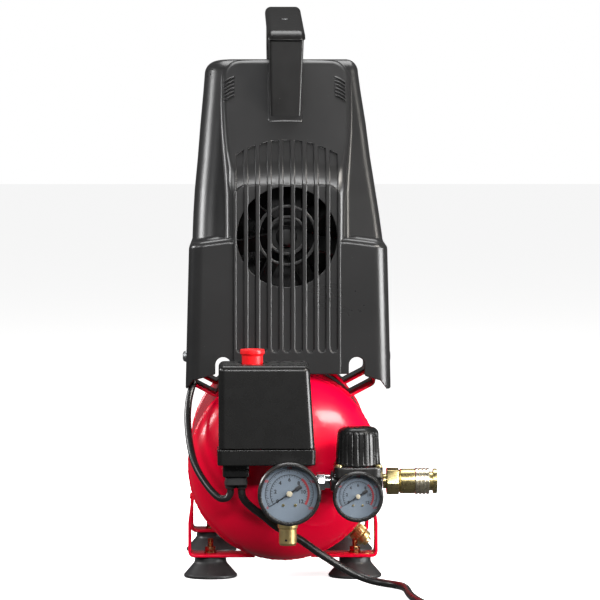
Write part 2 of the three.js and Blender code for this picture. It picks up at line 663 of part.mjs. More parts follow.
/** Four-way block under the switch, with a round boss at each port. */
function manifold() {
  const { x, half, bottom, top } = MANIFOLD;
  const body = block(x - half, x + half, PIPE.y - 11, PIPE.y + 13, 68, top);
  return join(
    body,
    rod('y', LEFT_GAUGE.back + GAP, PIPE.y, 8, [LEFT_GAUGE.x, 0, LEFT_GAUGE.z]),
    rod('z', bottom, 70, 9.5, [x, PIPE.y, 0]));
}

function tankNipple() {
  const at = [MANIFOLD.x, 0, PIPE.z];
  const hexAt = prism('y', hexagon(17, at[0], at[2]), -177.6, PIPE.y + 13 + 0.1);
  return join(rod('y', -177.7, -152, 6.5, at, 20), hexAt);
}

/** Sealed safety valve: threaded collar above a plain brass barrel with a bleed hole. */
function safetyValve() {
  const barrel = turned('z', [
    [0, MANIFOLD.bottom - GAP], [8.6, MANIFOLD.bottom - GAP], [8.6, 50.6], [7.4, 49.6],
    [7.4, 37.2], [6.6, 36.4], [0, 36.4],
  ], [0, 0, 0], 20);
  const bleed = rod('y', -12, 0, 0.9, [-3.6, 0, 40.4], 10);
  return cut(barrel, bleed).translate(MANIFOLD.x, PIPE.y, 0);
}

function chromeNipple() {
  const at = [0, PIPE.y, PIPE.z];
  const left = MANIFOLD.x + MANIFOLD.half + GAP;
  const nut = prism('x', hexagon(13.6, PIPE.y, PIPE.z), 26.6, 34);
  return join(rod('x', left, 30, 5.4, at, 20), nut, rod('x', 33, 38.5, 6.4, at, 20));
}

/** Regulator body with its side ports, gauge port and square bonnet flange. */
function regulatorBody() {
  const { x, bodyRadius, bottom, flangeBottom, flangeTop } = REGULATOR;
  const at = [0, PIPE.y, PIPE.z];
  const flange = prism('z', roundRectangle(x - 20.5, x + 20.5, PIPE.y - 19, PIPE.y + 19, 7), flangeBottom, flangeTop);
  const bowl = turned('z', [[0, bottom], [9, bottom], [13, bottom + 4], [bodyRadius, bottom + 14],
    [bodyRadius, flangeBottom + 2], [0, flangeBottom + 2]], [x, PIPE.y, 0], 24);
  const ports = [rod('x', 38.8, x, 9, at, 20), rod('x', x, 82, 9, at, 20),
    rod('y', RIGHT_GAUGE.back + GAP, PIPE.y, 7.5, [RIGHT_GAUGE.x, 0, RIGHT_GAUGE.z], 20)];
  const spindleBore = rod('z', flangeTop - 9, flangeTop + 5, 5.4, [x, PIPE.y, 0], 16);
  return cut(join(bowl, flange, ...ports), spindleBore);
}

function regulatorSpindle() {
  return rod('z', REGULATOR.flangeTop - 8, 124, 5, [REGULATOR.x, PIPE.y, 0], 16);
}

/** Ribbed adjusting knob, domed on top and hollow around the spindle. */
function regulatorKnob() {
  const { bottom, rim, dome, lowRadius, highRadius } = KNOB;
  const ribs = (z, radius) => Array.from({ length: 36 }, (_, i) => {
    const turn = radians(i * 10);
    const r = radius - (i % 2 ? 0.9 : 0);
    return [r * Math.cos(turn), r * Math.sin(turn), z];
  });
  const sections = [ribs(bottom, lowRadius), ribs(rim, highRadius), ribs(rim + dome * 0.55, highRadius * 0.86),
    ribs(rim + dome * 0.9, highRadius * 0.5), ribs(rim + dome, highRadius * 0.2)];
  const hollow = rod('z', bottom - 5, 124.6, 5 + GAP, [0, 0, 0], 16);
  const inside = rod('z', bottom - 5, 112, 14, [0, 0, 0], 20);
  return cut(loft(sections), hollow, inside).translate(REGULATOR.x, PIPE.y, 0);
}

/** Quick coupler: thread, hexagon, barrel and the socket's open end. */
function couplerBody() {
  const { start, hexEnd, bodyEnd, sleeveEnd, end, radius } = COUPLER;
  const at = [0, PIPE.y, PIPE.z];
  const nut = prism('x', hexagon(20.6, PIPE.y, PIPE.z), 85.1, hexEnd);
  const barrel = turned('x', [
    [0, hexEnd - 1], [9.4, hexEnd - 1], [9.4, hexEnd + 0.6], [radius, hexEnd + 1.4], [radius, bodyEnd],
    [7.9, bodyEnd], [7.9, sleeveEnd + 2.9], [radius, sleeveEnd + 2.9], [radius, end - 0.8], [radius - 0.8, end],
    [5.4, end], [5.4, 99], [0, 99],
  ], at, 20);
  return join(rod('x', start, 86, 6.2, at, 20), nut, barrel);
}

function couplerSleeve() {
  const { bodyEnd, sleeveEnd } = COUPLER;
  const start = bodyEnd + GAP;
  const outer = 11;
  return turned('x', [
    [8.2, start], [outer, start], [outer, start + 3.6], [outer - 0.7, start + 3.9],
    [outer - 0.7, start + 4.6], [outer, start + 4.9], [outer, sleeveEnd], [8.2, sleeveEnd], [8.2, start],
  ], [0, PIPE.y, PIPE.z], 20);
}

function pipework() {
  return group([
    part('manifold', manifold(), GLOSS_BLACK),
    part('tank_nipple', tankNipple(), STEEL),
    part('safety_valve', safetyValve(), BRASS),
    part('outlet_nipple', chromeNipple(), CHROME),
    part('regulator_body', regulatorBody(), GLOSS_BLACK),
    part('regulator_spindle', regulatorSpindle(), STEEL),
    part('regulator_knob', regulatorKnob(), GLOSS_BLACK),
    part('coupler_body', couplerBody(), BRASS),
    part('coupler_sleeve', couplerSleeve(), BRASS),
  ]);
}

// ---------------------------------------------------------------- gauges

/** A dial gauge that faces -Y. Stations run forward from the back of its stem. */
function gauge(name, { x, z, radius, back, depth }) {
  const can = radius - 1.4;
  const dial = depth - 7;
  const lip = radius - 3.4;
  const housing = turned('y', [
    [0, 0], [6, 0], [6, 4], [can - 1, 4], [can, 5], [can, depth - 6.4], [radius, depth - 5.6],
    [radius, depth - 0.9], [radius - 0.9, depth], [lip, depth], [lip, depth - 1.4],
    [can - 1.6, depth - 1.4], [can - 1.6, dial], [0, dial],
  ], [0, 0, 0], 28);
  const glass = turned('y', [
    [0, depth - 2.9], [can - 1.9, depth - 2.9], [can - 1.9, depth - 1.7], [0, depth - 1.7],
  ], [0, 0, 0], 28);
  const tip = can - 4.4;
  const hand = new THREE.Shape([
    [-0.45, tip], [-0.9, 3], [-1.5, -3], [-1.5, -8.6], [1.5, -8.6], [1.5, -3], [0.9, 3], [0.45, tip],
  ].map(([u, v]) => new THREE.Vector2(u * can / 25, v * (v < 0 ? can / 25 : 1))));
  const hub = rod('y', dial + 0.5, dial + 2.4, can * 0.11, [0, 0, 0], 16);
  const pointer = join(prism('y', hand, dial + 1, dial + 1.8), hub).rotateY(radians(123));
  const made = [
    part(`${name}_case`, housing, GLOSS_BLACK),
    part(`${name}_needle`, pointer, INK),
    part(`${name}_lens`, glass, CLEAR),
  ];
  const placed = group(made, [x, back, z]);
  placed.rotation.z = Math.PI;
  return placed;
}

// ---------------------------------------------------------------- drain valve

function drainValve() {
  const { foot } = DRAIN;
  const hex = prism('z', hexagon(12.4), foot, foot + 7);
  const body = join(hex, rod('z', foot + 6, foot + 15, 3.6, [0, 0, 0], 16));
  const knob = ring('z', foot + 7.4, foot + 14, 3.6 + GAP, 7, [0, 0, 0], 20);
  const made = group([part('drain_valve', body, BRASS), part('drain_knob', knob, GLOSS_BLACK)], [0, DRAIN.y, TANK.z]);
  made.rotation.y = radians(DRAIN.angle);
  return made;
}

// ---------------------------------------------------------------- leads

/** The motor's own lead, from the switch round the front of the tank up into the shroud. */
function motorLead() {
  return bar([
    [-44.8, -189, 83.3], [-45, -189, 79.6], [-47.6, -188.4, 76], [-53, -187, 75.2], [-60, -183, 80.4],
    [-69, -175, 91.8], [-74.8, -168, 102.5], [-78.2, -160, 114.5], [-80.2, -152, 127], [-81, -144, 141],
    [-80, -137, 154], [-77.2, -131, 166], [-74, -126, 177], [-67, -120, 192], [-58, -112, 206],
    [-45, -98, 220], [-34, -84, 238], [-30, -76, 248],
  ], LEAD_RADIUS, 34);
}

/** The mains cord, loose from the switch, behind the left gauge, to the floor and forward. */
function mainsCord() {
  return bar([
    [-35.6, -189, 83.3], [-35.2, -188.8, 78], [-32.2, -187, 72.6], [-27, -184.4, 67.4], [-17.5, -180.8, 60],
    [-7, -177.6, 50.9], [3, -176.2, 45], [13.1, -176, 39.6], [31.3, -176, 26.9], [45.1, -176.6, 18.2],
    [59.3, -178, 10.4], [73.2, -181, 5.4], [83.5, -186, 3.8], [91.5, -193.5, 3.4], [97, -203.5, 3.4], [99.8, -216, 3.4],
  [100.8, -232, 3.4], [101.2, -250, 3.4], [102.2, -270, 3.4], [105, -296, 3.4], [110, -324, 3.4], [117, -354, 3.4],
  [123.6, -380, 3.4], [128, -402, 3.4],
  ], CORD_RADIUS, 40);
}

/** The short stretch from the coil to the plug, and the flat plug with its tapered relief. */
function cordEnd() {
  const { y, z, reliefStart, start, end, halfWidth, halfHeight } = PLUG;
  const tail = bar([
    [62, -475.9, 9.9], [55, -478.4, 10.6], [49, -481, 11.4], [reliefStart + 1.2, y, z],
  ], CORD_RADIUS, 3);
  const outline = roundRectangle(y - halfWidth, y + halfWidth, z - halfHeight, z + halfHeight, 5);
  const relief = turned('x', [[0, start - 2], [6.6, start - 2], [4.4, reliefStart], [0, reliefStart]], [0, y, z], 16);
  const blades = [-6.4, 6.4].map((side) => block(end - 17, end + 2, y + side - 0.8, y + side + 0.8, z - 3.2, z + 3.2));
  const earth = rod('x', end - 19, end + 2, 2.4, [0, y, z - 7], 12);
  return [
    part('mains_cord_tail', tail, CORD_BLACK),
    part('mains_plug', join(prism('x', outline, end, start), relief, ...blades, earth), CORD_BLACK),
  ];
}

const leads = () => group([
  part('motor_lead', motorLead(), CORD_BLACK),
  part('mains_cord', mainsCord(), CORD_BLACK),
  part('mains_cord_coil', ring('z', 0, COIL.height, COIL.inner, COIL.outer, [COIL.x, COIL.y, 0], 28), CORD_BLACK),
  ...cordEnd(),
]);

// ---------------------------------------------------------------- the whole machine

const compressor = group([
  tank(),
  stand(),
  part('saddle_front', saddle(-SADDLE.y), RED_PAINT),
  part('saddle_rear', saddle(SADDLE.y), RED_PAINT),
  part('motor_base', motorBase(), STEEL),
  pump(),
  part('discharge_tube', dischargeTube(), COPPER),
  part('check_valve', checkValve(), BRASS),
  part('capacitor', rod('y', -44, 12, 16, [54, 0, 213.4], 24), ALUMINIUM),
  hull(),
  pressureSwitch(),
  pipework(),
  gauge('tank_gauge', LEFT_GAUGE),
  gauge('outlet_gauge', RIGHT_GAUGE),
  drainValve(),
  leads(),
], [-MACHINE_CENTRE.x, -MACHINE_CENTRE.y, 0]);

export default compressor;
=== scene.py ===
"""Looks of the small air compressor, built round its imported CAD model."""

import math

import bmesh
import bpy
import numpy as np
from mathutils import Matrix, Vector


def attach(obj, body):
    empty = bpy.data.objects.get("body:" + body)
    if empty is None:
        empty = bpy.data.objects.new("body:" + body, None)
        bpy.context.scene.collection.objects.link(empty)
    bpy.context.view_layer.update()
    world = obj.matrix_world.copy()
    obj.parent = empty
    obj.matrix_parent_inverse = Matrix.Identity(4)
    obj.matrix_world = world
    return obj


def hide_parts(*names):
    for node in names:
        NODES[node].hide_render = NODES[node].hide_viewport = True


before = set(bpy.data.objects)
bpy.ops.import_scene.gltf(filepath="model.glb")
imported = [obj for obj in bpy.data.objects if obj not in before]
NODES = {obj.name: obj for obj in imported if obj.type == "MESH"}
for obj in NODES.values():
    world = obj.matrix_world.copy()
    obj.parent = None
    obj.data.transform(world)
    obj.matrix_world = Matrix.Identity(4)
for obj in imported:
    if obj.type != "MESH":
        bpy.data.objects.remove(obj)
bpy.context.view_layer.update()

# Sizes below are in millimetres in the tank's own frame: x = 0 and y = 0 at the middle of the
# tank, z = 0 at the floor, the front toward -Y. ORIGIN is the row frame's origin in it.
ORIGIN = Vector((21.3, -33.55, 0.0))
MM = 0.001


def shown(name, data):
    made = bpy.data.objects.new(name, data)
    bpy.context.scene.collection.objects.link(made)
    return made


def row(x, y, z):
    return ((x - ORIGIN.x) * MM, (y - ORIGIN.y) * MM, (z - ORIGIN.z) * MM)


# -------- camera

YAW, PITCH = math.radians(1.1), math.radians(-2.41)
LOOK = Vector((math.sin(YAW) * math.cos(PITCH), math.cos(YAW) * math.cos(PITCH), math.sin(PITCH)))
AIM = Vector((14.5, -120.0, 238.3))
DISTANCE, FOCAL_LENGTH, SENSOR = 3200, 225.4, 36
camera_data = bpy.data.cameras.new("camera")
camera_data.sensor_width, camera_data.lens = SENSOR, FOCAL_LENGTH
camera_data.clip_start, camera_data.clip_end = 0.05, 60
camera = shown("camera", camera_data)
camera.location = row(*(AIM - LOOK * DISTANCE))
camera.rotation_mode = "QUATERNION"
camera.rotation_quaternion = LOOK.to_track_quat("-Z", "Y")
bpy.context.scene.camera = camera

# -------- materials


class Look:
    """A node material with its Principled shader and short ways to add nodes."""

    def __init__(self, name):
        self.mat = bpy.data.materials.new(name)
        self.mat.use_nodes = True
        self.tree = self.mat.node_tree
        self.shader = self.tree.nodes["Principled BSDF"]
        self.place = self.tree.nodes.new("ShaderNodeTexCoord").outputs["Object"]

    def link(self, out, socket):
        self.tree.links.new(out, socket)

    def node(self, kind, **values):
        made = self.tree.nodes.new("ShaderNode" + kind)
        for key, value in values.items():
            if hasattr(made, key):
                setattr(made, key, value)
            else:
                made.inputs[key.replace("_", " ")].default_value = value
        return made

    def noise(self, scale, detail=3.0, stretch=(1, 1, 1), roughness=0.55):
        mapping = self.node("Mapping")
        mapping.inputs["Scale"].default_value = stretch
        self.link(self.place, mapping.inputs["Vector"])
        made = self.node("TexNoise", Scale=scale, Detail=detail, Roughness=roughness)
        self.link(mapping.outputs[0], made.inputs["Vector"])
        return made.outputs["Fac"]

    def ramp(self, fac, low, high, out_low, out_high):
        made = self.node("MapRange")
        made.inputs["From Min"].default_value = low
        made.inputs["From Max"].default_value = high
        made.inputs["To Min"].default_value = out_low
        made.inputs["To Max"].default_value = out_high
        self.link(fac, made.inputs["Value"])
        return made.outputs["Result"]

    def blend(self, fac, first, second):
        made = self.node("Mix", data_type="RGBA")
        for index, value in ((6, first), (7, second)):
            if isinstance(value, bpy.types.NodeSocket):
                self.link(value, made.inputs[index])
            else:
                made.inputs[index].default_value = (*value, 1)
        self.link(fac, made.inputs[0])
        return made.outputs[2]

    def bump(self, height, distance, strength=1.0, after=None):
        made = self.node("Bump", Distance=distance, Strength=strength)
        self.link(height, made.inputs["Height"])
        if after is not None:
            self.link(after, made.inputs["Normal"])
        self.link(made.outputs[0], self.shader.inputs["Normal"])
        return made.outputs[0]

    def set(self, **values):
        for key, value in values.items():
            self.shader.inputs[key.replace("_", " ")].default_value = value
        return self


def surface(name, tones, rough, metal=0.0, tone_scale=30, grain=(1600, 0.00003), streak=None,
            specks=None, **fixed):
    """Two close tones, uneven roughness, a fine grain, and scratches or specks where asked."""
    look = Look(name)
    colour = look.blend(look.ramp(look.noise(tone_scale, 4), 0.35, 0.65, 0, 1), *tones)
    if specks:
        spots = look.ramp(look.noise(specks[0], 2), specks[1], specks[1] + 0.03, 0, specks[3])
        colour = look.blend(spots, colour, specks[2])
    look.link(colour, look.shader.inputs["Base Color"])
    uneven = look.ramp(look.noise(tone_scale * 2.3, 5), 0.3, 0.7, *rough)
    if streak:
        lines = look.noise(streak[0], 3, streak[1])
        extra = look.ramp(lines, 0.55, 0.75, 0, streak[2])
        add = look.node("Math", operation="ADD")
        look.link(uneven, add.inputs[0])
        look.link(extra, add.inputs[1])
        uneven = add.outputs[0]
    look.link(uneven, look.shader.inputs["Roughness"])
    normal = look.bump(look.noise(grain[0], 2), grain[1])
    if streak:
        look.bump(look.noise(streak[0], 2, streak[1]), streak[3], after=normal)
    look.set(Metallic=metal, **fixed)
    return look.mat


RED_PAINT = surface(
    "red_enamel", ((0.93, 0.001, 0.036), (0.87, 0.001, 0.031)), (0.2, 0.27), tone_scale=14,
    grain=(420, 0.00005), specks=(700, 0.70, (0.5, 0.003, 0.014), 0.5),
    Coat_Weight=0.26, Coat_Roughness=0.1, Specular_IOR_Level=0.24)
RED_PLASTIC = surface(
    "red_plastic", ((0.86, 0.008, 0.012), (0.78, 0.006, 0.01)), (0.3, 0.42), tone_scale=90,
    grain=(2400, 0.00002))
SHROUD_PLASTIC = surface(
    "charcoal_plastic", ((0.0175, 0.0175, 0.018), (0.0155, 0.0155, 0.016)), (0.27, 0.31), tone_scale=9,
    grain=(1500, 0.00005), specks=(620, 0.745, (0.09, 0.09, 0.09), 0.6),
    streak=(40, (1, 1, 9), 0.02, 0.000004), Specular_IOR_Level=0.5)
HANDLE_PLASTIC = surface(
    "handle_plastic", ((0.0075, 0.0072, 0.0072), (0.0062, 0.006, 0.006)), (0.28, 0.34), tone_scale=40,
    grain=(1900, 0.00004), specks=(640, 0.74, (0.08, 0.08, 0.08), 0.5), Specular_IOR_Level=0.36)
SWITCH_PLASTIC = surface(
    "switch_plastic", ((0.0085, 0.0085, 0.0085), (0.0075, 0.0075, 0.0075)), (0.26, 0.29), tone_scale=50,
    grain=(2200, 0.000008), Specular_IOR_Level=0.38)
BLACK_METAL = surface(
    "black_metal", ((0.012, 0.012, 0.012), (0.017, 0.016, 0.016)), (0.22, 0.36), tone_scale=70,
    grain=(1200, 0.00004), Coat_Weight=0.3, Coat_Roughness=0.12)
RUBBER = surface(
    "foot_rubber", ((0.018, 0.018, 0.019), (0.030, 0.029, 0.029)), (0.34, 0.52), tone_scale=45,
    grain=(1300, 0.0001), specks=(500, 0.7, (0.12, 0.12, 0.12), 0.35))
CORD_SHEATH = surface(
    "cord_sheath", ((0.010, 0.010, 0.010), (0.015, 0.014, 0.014)), (0.24, 0.36), tone_scale=80,
    grain=(900, 0.00005), Coat_Weight=0.2, Coat_Roughness=0.2)
BRASS = surface(
    "brass", ((0.62, 0.52, 0.26), (0.52, 0.42, 0.19)), (0.22, 0.36), 1.0, tone_scale=120,
    grain=(2600, 0.00001), streak=(500, (14, 1, 1), 0.1, 0.000012),
    specks=(800, 0.68, (0.30, 0.19, 0.06), 0.6))
VALVE_BRASS = surface(
    "satin_brass", ((0.86, 0.68, 0.32), (0.74, 0.56, 0.24)), (0.34, 0.46), 1.0, tone_scale=120,
    grain=(2400, 0.00002))
SLEEVE_METAL = surface(
    "sleeve_metal", ((0.86, 0.80, 0.64), (0.78, 0.70, 0.54)), (0.22, 0.34), 1.0, tone_scale=150,
    grain=(2600, 0.00001), streak=(500, (14, 1, 1), 0.1, 0.000012))
CHROME = surface(
    "chrome", ((0.56, 0.57, 0.58), (0.50, 0.51, 0.52)), (0.12, 0.2), 1.0, tone_scale=90,
    grain=(2000, 0.000006), specks=(700, 0.72, (0.4, 0.38, 0.35), 0.4))
STEEL = surface(
    "zinc_steel", ((0.44, 0.45, 0.46), (0.36, 0.37, 0.38)), (0.28, 0.45), 1.0, tone_scale=55,
    grain=(1500, 0.00002), streak=(260, (1, 12, 1), 0.12, 0.00001))
ALUMINIUM = surface(
    "cast_aluminium", ((0.50, 0.51, 0.52), (0.40, 0.41, 0.42)), (0.4, 0.6), 1.0, tone_scale=60,
    grain=(700, 0.00012))
COPPER = surface(
    "copper", ((0.55, 0.24, 0.11), (0.45, 0.18, 0.08)), (0.25, 0.45), 1.0, tone_scale=70,
    grain=(1500, 0.00003))
STUD_BRASS = surface(
    "stud_copper", ((0.46, 0.29, 0.14), (0.34, 0.20, 0.09)), (0.2, 0.36), 1.0, tone_scale=150,
    grain=(2200, 0.00002))
FAN_PLASTIC = surface(
    "fan_plastic", ((0.008, 0.008, 0.0085), (0.006, 0.006, 0.0065)), (0.45, 0.6), tone_scale=60,
    grain=(900, 0.00004))
DIAL = surface(
    "dial_face", ((0.25, 0.31, 0.38), (0.21, 0.265, 0.335)), (0.5, 0.62), tone_scale=35,
    grain=(2600, 0.00001))
INK = surface("dial_ink", ((0.02, 0.021, 0.024), (0.03, 0.03, 0.034)), (0.4, 0.55), grain=(2600, 0.00001))
RED_INK = surface("dial_red", ((0.55, 0.06, 0.07), (0.5, 0.05, 0.06)), (0.4, 0.55), grain=(2600, 0.00001))
HUB = surface("needle_hub", ((0.72, 0.66, 0.50), (0.62, 0.56, 0.42)), (0.25, 0.4), tone_scale=200,
              grain=(2600, 0.00001))

lens = Look("gauge_window")
lens.link(lens.ramp(lens.noise(120, 4), 0.3, 0.7, 0.02, 0.07), lens.shader.inputs["Roughness"])
lens.set(Base_Color=(0.02, 0.022, 0.025, 1), IOR=1.49, Alpha=0.1, Specular_IOR_Level=0.9)
LENS = lens.mat

# -------- mesh helpers

FINE = 1.0


def piece(name, mesh, material, body="machine", replaces=()):
    made = shown(name, mesh)
    made.data.materials.append(material)
    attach(made, body)
    if replaces:
        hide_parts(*replaces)
    return made


def mesh_of(name, verts, faces, angle=35):
    mesh = bpy.data.meshes.new(name)
    mesh.from_pydata([row(*v) for v in verts], [], faces)
    mesh.validate()
    work = bmesh.new()
    work.from_mesh(mesh)
    bmesh.ops.recalc_face_normals(work, faces=work.faces)
    work.to_mesh(mesh)
    work.free()
    mesh.shade_smooth()
    mesh.set_sharp_from_angle(angle=math.radians(angle))
    return mesh


def rounded(points, radius, steps=3, closed=False):
    """Puts a small arc at each corner of a path; a radius may be given per corner."""
    count = len(points)
    made = []
    for i, point in enumerate(points):
        r = radius[i] if isinstance(radius, (list, tuple)) else radius
        if not r or (not closed and i in (0, count - 1)):
            made.append(tuple(point))
            continue
        here = Vector(point)
        into, out = Vector(points[i - 1]) - here, Vector(points[(i + 1) % count]) - here
        if into.length < 1e-6 or out.length < 1e-6:
            made.append(tuple(point))
            continue
        turn = into.angle(out)
        if turn > math.radians(172):
            made.append(tuple(point))
            continue
        reach = min(r / math.tan(turn / 2), into.length * 0.49, out.length * 0.49)
        start, end = here + into.normalized() * reach, here + out.normalized() * reach
        for k in range(steps + 1):
            t = k / steps
            made.append(tuple((1 - t) ** 2 * start + 2 * t * (1 - t) * here + t * t * end))
    return made


def spun(axis, radius, station, turn):
    a, b = radius * math.cos(turn), radius * math.sin(turn)
    return {"x": (station, a, b), "y": (b, station, a), "z": (a, b, station)}[axis]


def lathe(name, axis, profile, at, material, body="machine", replaces=(), round_by=0.3,
          sides=72, wave=None, matrix=None, angle=38):
    """A turned piece. wave(turn, radius, station) may change the radius, as for ribs."""
    profile = rounded([(float(r), float(s)) for r, s in profile], round_by)
    verts, faces, rings = [], [], []
    for radius, station in profile:
        if radius < 1e-6:
            rings.append([len(verts)] * sides)
            verts.append(spun(axis, 0, station, 0))
            continue
        rings.append(list(range(len(verts), len(verts) + sides)))
        for k in range(sides):
            turn = 2 * math.pi * k / sides
            r = wave(turn, radius, station) if wave else radius
            verts.append(spun(axis, r, station, turn))
    for low, high in zip(rings, rings[1:]):
        for k in range(sides):
            n = (k + 1) % sides
            corners = [low[k], low[n], high[n], high[k]]
            corners = [c for i, c in enumerate(corners) if c != corners[i - 1]]
            if len(set(corners)) >= 3:
                faces.append(corners)
    if matrix is not None:
        verts = [tuple(matrix @ Vector(v)) for v in verts]
    verts = [(v[0] + at[0], v[1] + at[1], v[2] + at[2]) for v in verts]
    return piece(name, mesh_of(name, verts, faces, angle), material, body, replaces)


def prism_mesh(name, axis, outline, low, high, bevel=0.4, segments=2, matrix=None, at=(0, 0, 0), angle=35):
    """An outline pushed along an axis, its edges rounded: (u, v) is (y, z), (x, z) or (x, y)."""
    def place(u, v, w):
        return {"x": (w, u, v), "y": (u, w, v), "z": (u, v, w)}[axis]

    work = bmesh.new()
    first = [work.verts.new(place(u, v, low)) for u, v in outline]
    second = [work.verts.new(place(u, v, high)) for u, v in outline]
    count = len(outline)
    work.faces.new(first)
    work.faces.new(list(reversed(second)))
    for i in range(count):
        n = (i + 1) % count
        work.faces.new([first[i], second[i], second[n], first[n]])
    bmesh.ops.recalc_face_normals(work, faces=work.faces)
    if bevel:
        sharp = [e for e in work.edges if e.calc_face_angle(0) > math.radians(28)]
        bmesh.ops.bevel(work, geom=sharp, offset=bevel, segments=segments, profile=0.5,
                        affect="EDGES", clamp_overlap=True)
    for vert in work.verts:
        v = matrix @ vert.co if matrix is not None else vert.co
        vert.co = row(v[0] + at[0], v[1] + at[1], v[2] + at[2])
    mesh = bpy.data.meshes.new(name)
    work.to_mesh(mesh)
    work.free()
    mesh.shade_smooth()
    mesh.set_sharp_from_angle(angle=math.radians(angle))
    return mesh


def prism(name, axis, outline, low, high, material, slot, body="machine", replaces=(), **how):
    return piece(name, prism_mesh(name, axis, outline, low, high, **how), material, body, replaces)


def box_outline(u0, u1, v0, v1, radius=0.0, steps=5):
    corners = [(u0, v0), (u1, v0), (u1, v1), (u0, v1)]
    return rounded(corners, radius, steps, closed=True) if radius else corners


def hexagon(across, u=0.0, v=0.0, turn=0.0):
    reach = across / math.sqrt(3)
    return [(u + reach * math.cos(math.radians(turn + 60 * k)), v + reach * math.sin(math.radians(turn + 60 * k)))
            for k in range(6)]


def smooth_path(points, per_span=8):
    """A centripetal Catmull-Rom curve through the points."""
    p = [Vector(q) for q in points]
    p = [p[0] * 2 - p[1], *p, p[-1] * 2 - p[-2]]
    made = []
    for i in range(1, len(p) - 2):
        t = [0.0]
        for k in range(3):
            t.append(t[-1] + max((p[i + k] - p[i + k - 1]).length, 1e-6) ** 0.5)
        for s in range(per_span):
            u = t[1] + (t[2] - t[1]) * s / per_span
            a = [(t[k + 1] - u) / (t[k + 1] - t[k]) * p[i - 1 + k] + (u - t[k]) / (t[k + 1] - t[k]) * p[i + k]
                 for k in range(3)]
            b = [(t[k + 2] - u) / (t[k + 2] - t[k]) * a[k] + (u - t[k]) / (t[k + 2] - t[k]) * a[k + 1]
                 for k in range(2)]
            made.append((t[2] - u) / (t[2] - t[1]) * b[0] + (u - t[1]) / (t[2] - t[1]) * b[1])
    made.append(p[-2])
    return made


def tube(name, points, radius, material, body="machine", replaces=(), per_span=8, sides=6):
    curve = bpy.data.curves.new(name, "CURVE")
    curve.dimensions = "3D"
    curve.bevel_depth = radius * MM
    curve.bevel_resolution = sides
    curve.use_fill_caps = True
    path = smooth_path(points, per_span)
    spline = curve.splines.new("POLY")
    spline.points.add(len(path) - 1)
    for target, point in zip(spline.points, path):
        target.co = (*row(*point), 1)
    spline.use_smooth = True
    made = shown(name, curve)
    curve.materials.append(material)
    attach(made, body)
    if replaces:
        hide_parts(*replaces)
    return made, path


# -------- solids from distance fields


def meet(a, b, r=0.0):
    """Both shapes, with the edge between them rounded by r."""
    if np.ndim(r) == 0 and r == 0:
        return np.maximum(a, b)
    return np.minimum(-r, np.maximum(a, b)) + np.hypot(np.maximum(a + r, 0), np.maximum(b + r, 0))


def either(a, b, r=0.0):
    """Either shape, with the corner between them filled by r."""
    return -meet(-a, -b, r)


def without(a, b, r=0.0):
    return meet(a, -b, r)


def inside_outline(u, v, points):
    """Signed distance to a closed outline, negative inside."""
    p = np.array(points, float)
    q = np.roll(p, -1, axis=0)
    u, v = np.broadcast_arrays(u, v)
    best = np.full(u.shape, 1e9)
    inside = np.zeros(u.shape, bool)
    for (ax, ay), (bx, by) in zip(p, q):
        ex, ey = bx - ax, by - ay
        t = np.clip(((u - ax) * ex + (v - ay) * ey) / (ex * ex + ey * ey), 0, 1)
        best = np.minimum(best, (u - ax - t * ex) ** 2 + (v - ay - t * ey) ** 2)
        if ay != by:
            inside ^= ((ay > v) != (by > v)) & (u < ex * (v - ay) / ey + ax)
    return np.where(inside, -1, 1) * np.sqrt(best)


def grid(*stretches):
    lines = []
    for start, end, step in stretches:
        count = max(2, int(round((end - start) / step * FINE)))
        lines.append(np.linspace(start, end, count + 1)[:-1])
    return np.append(np.concatenate(lines), stretches[-1][1])


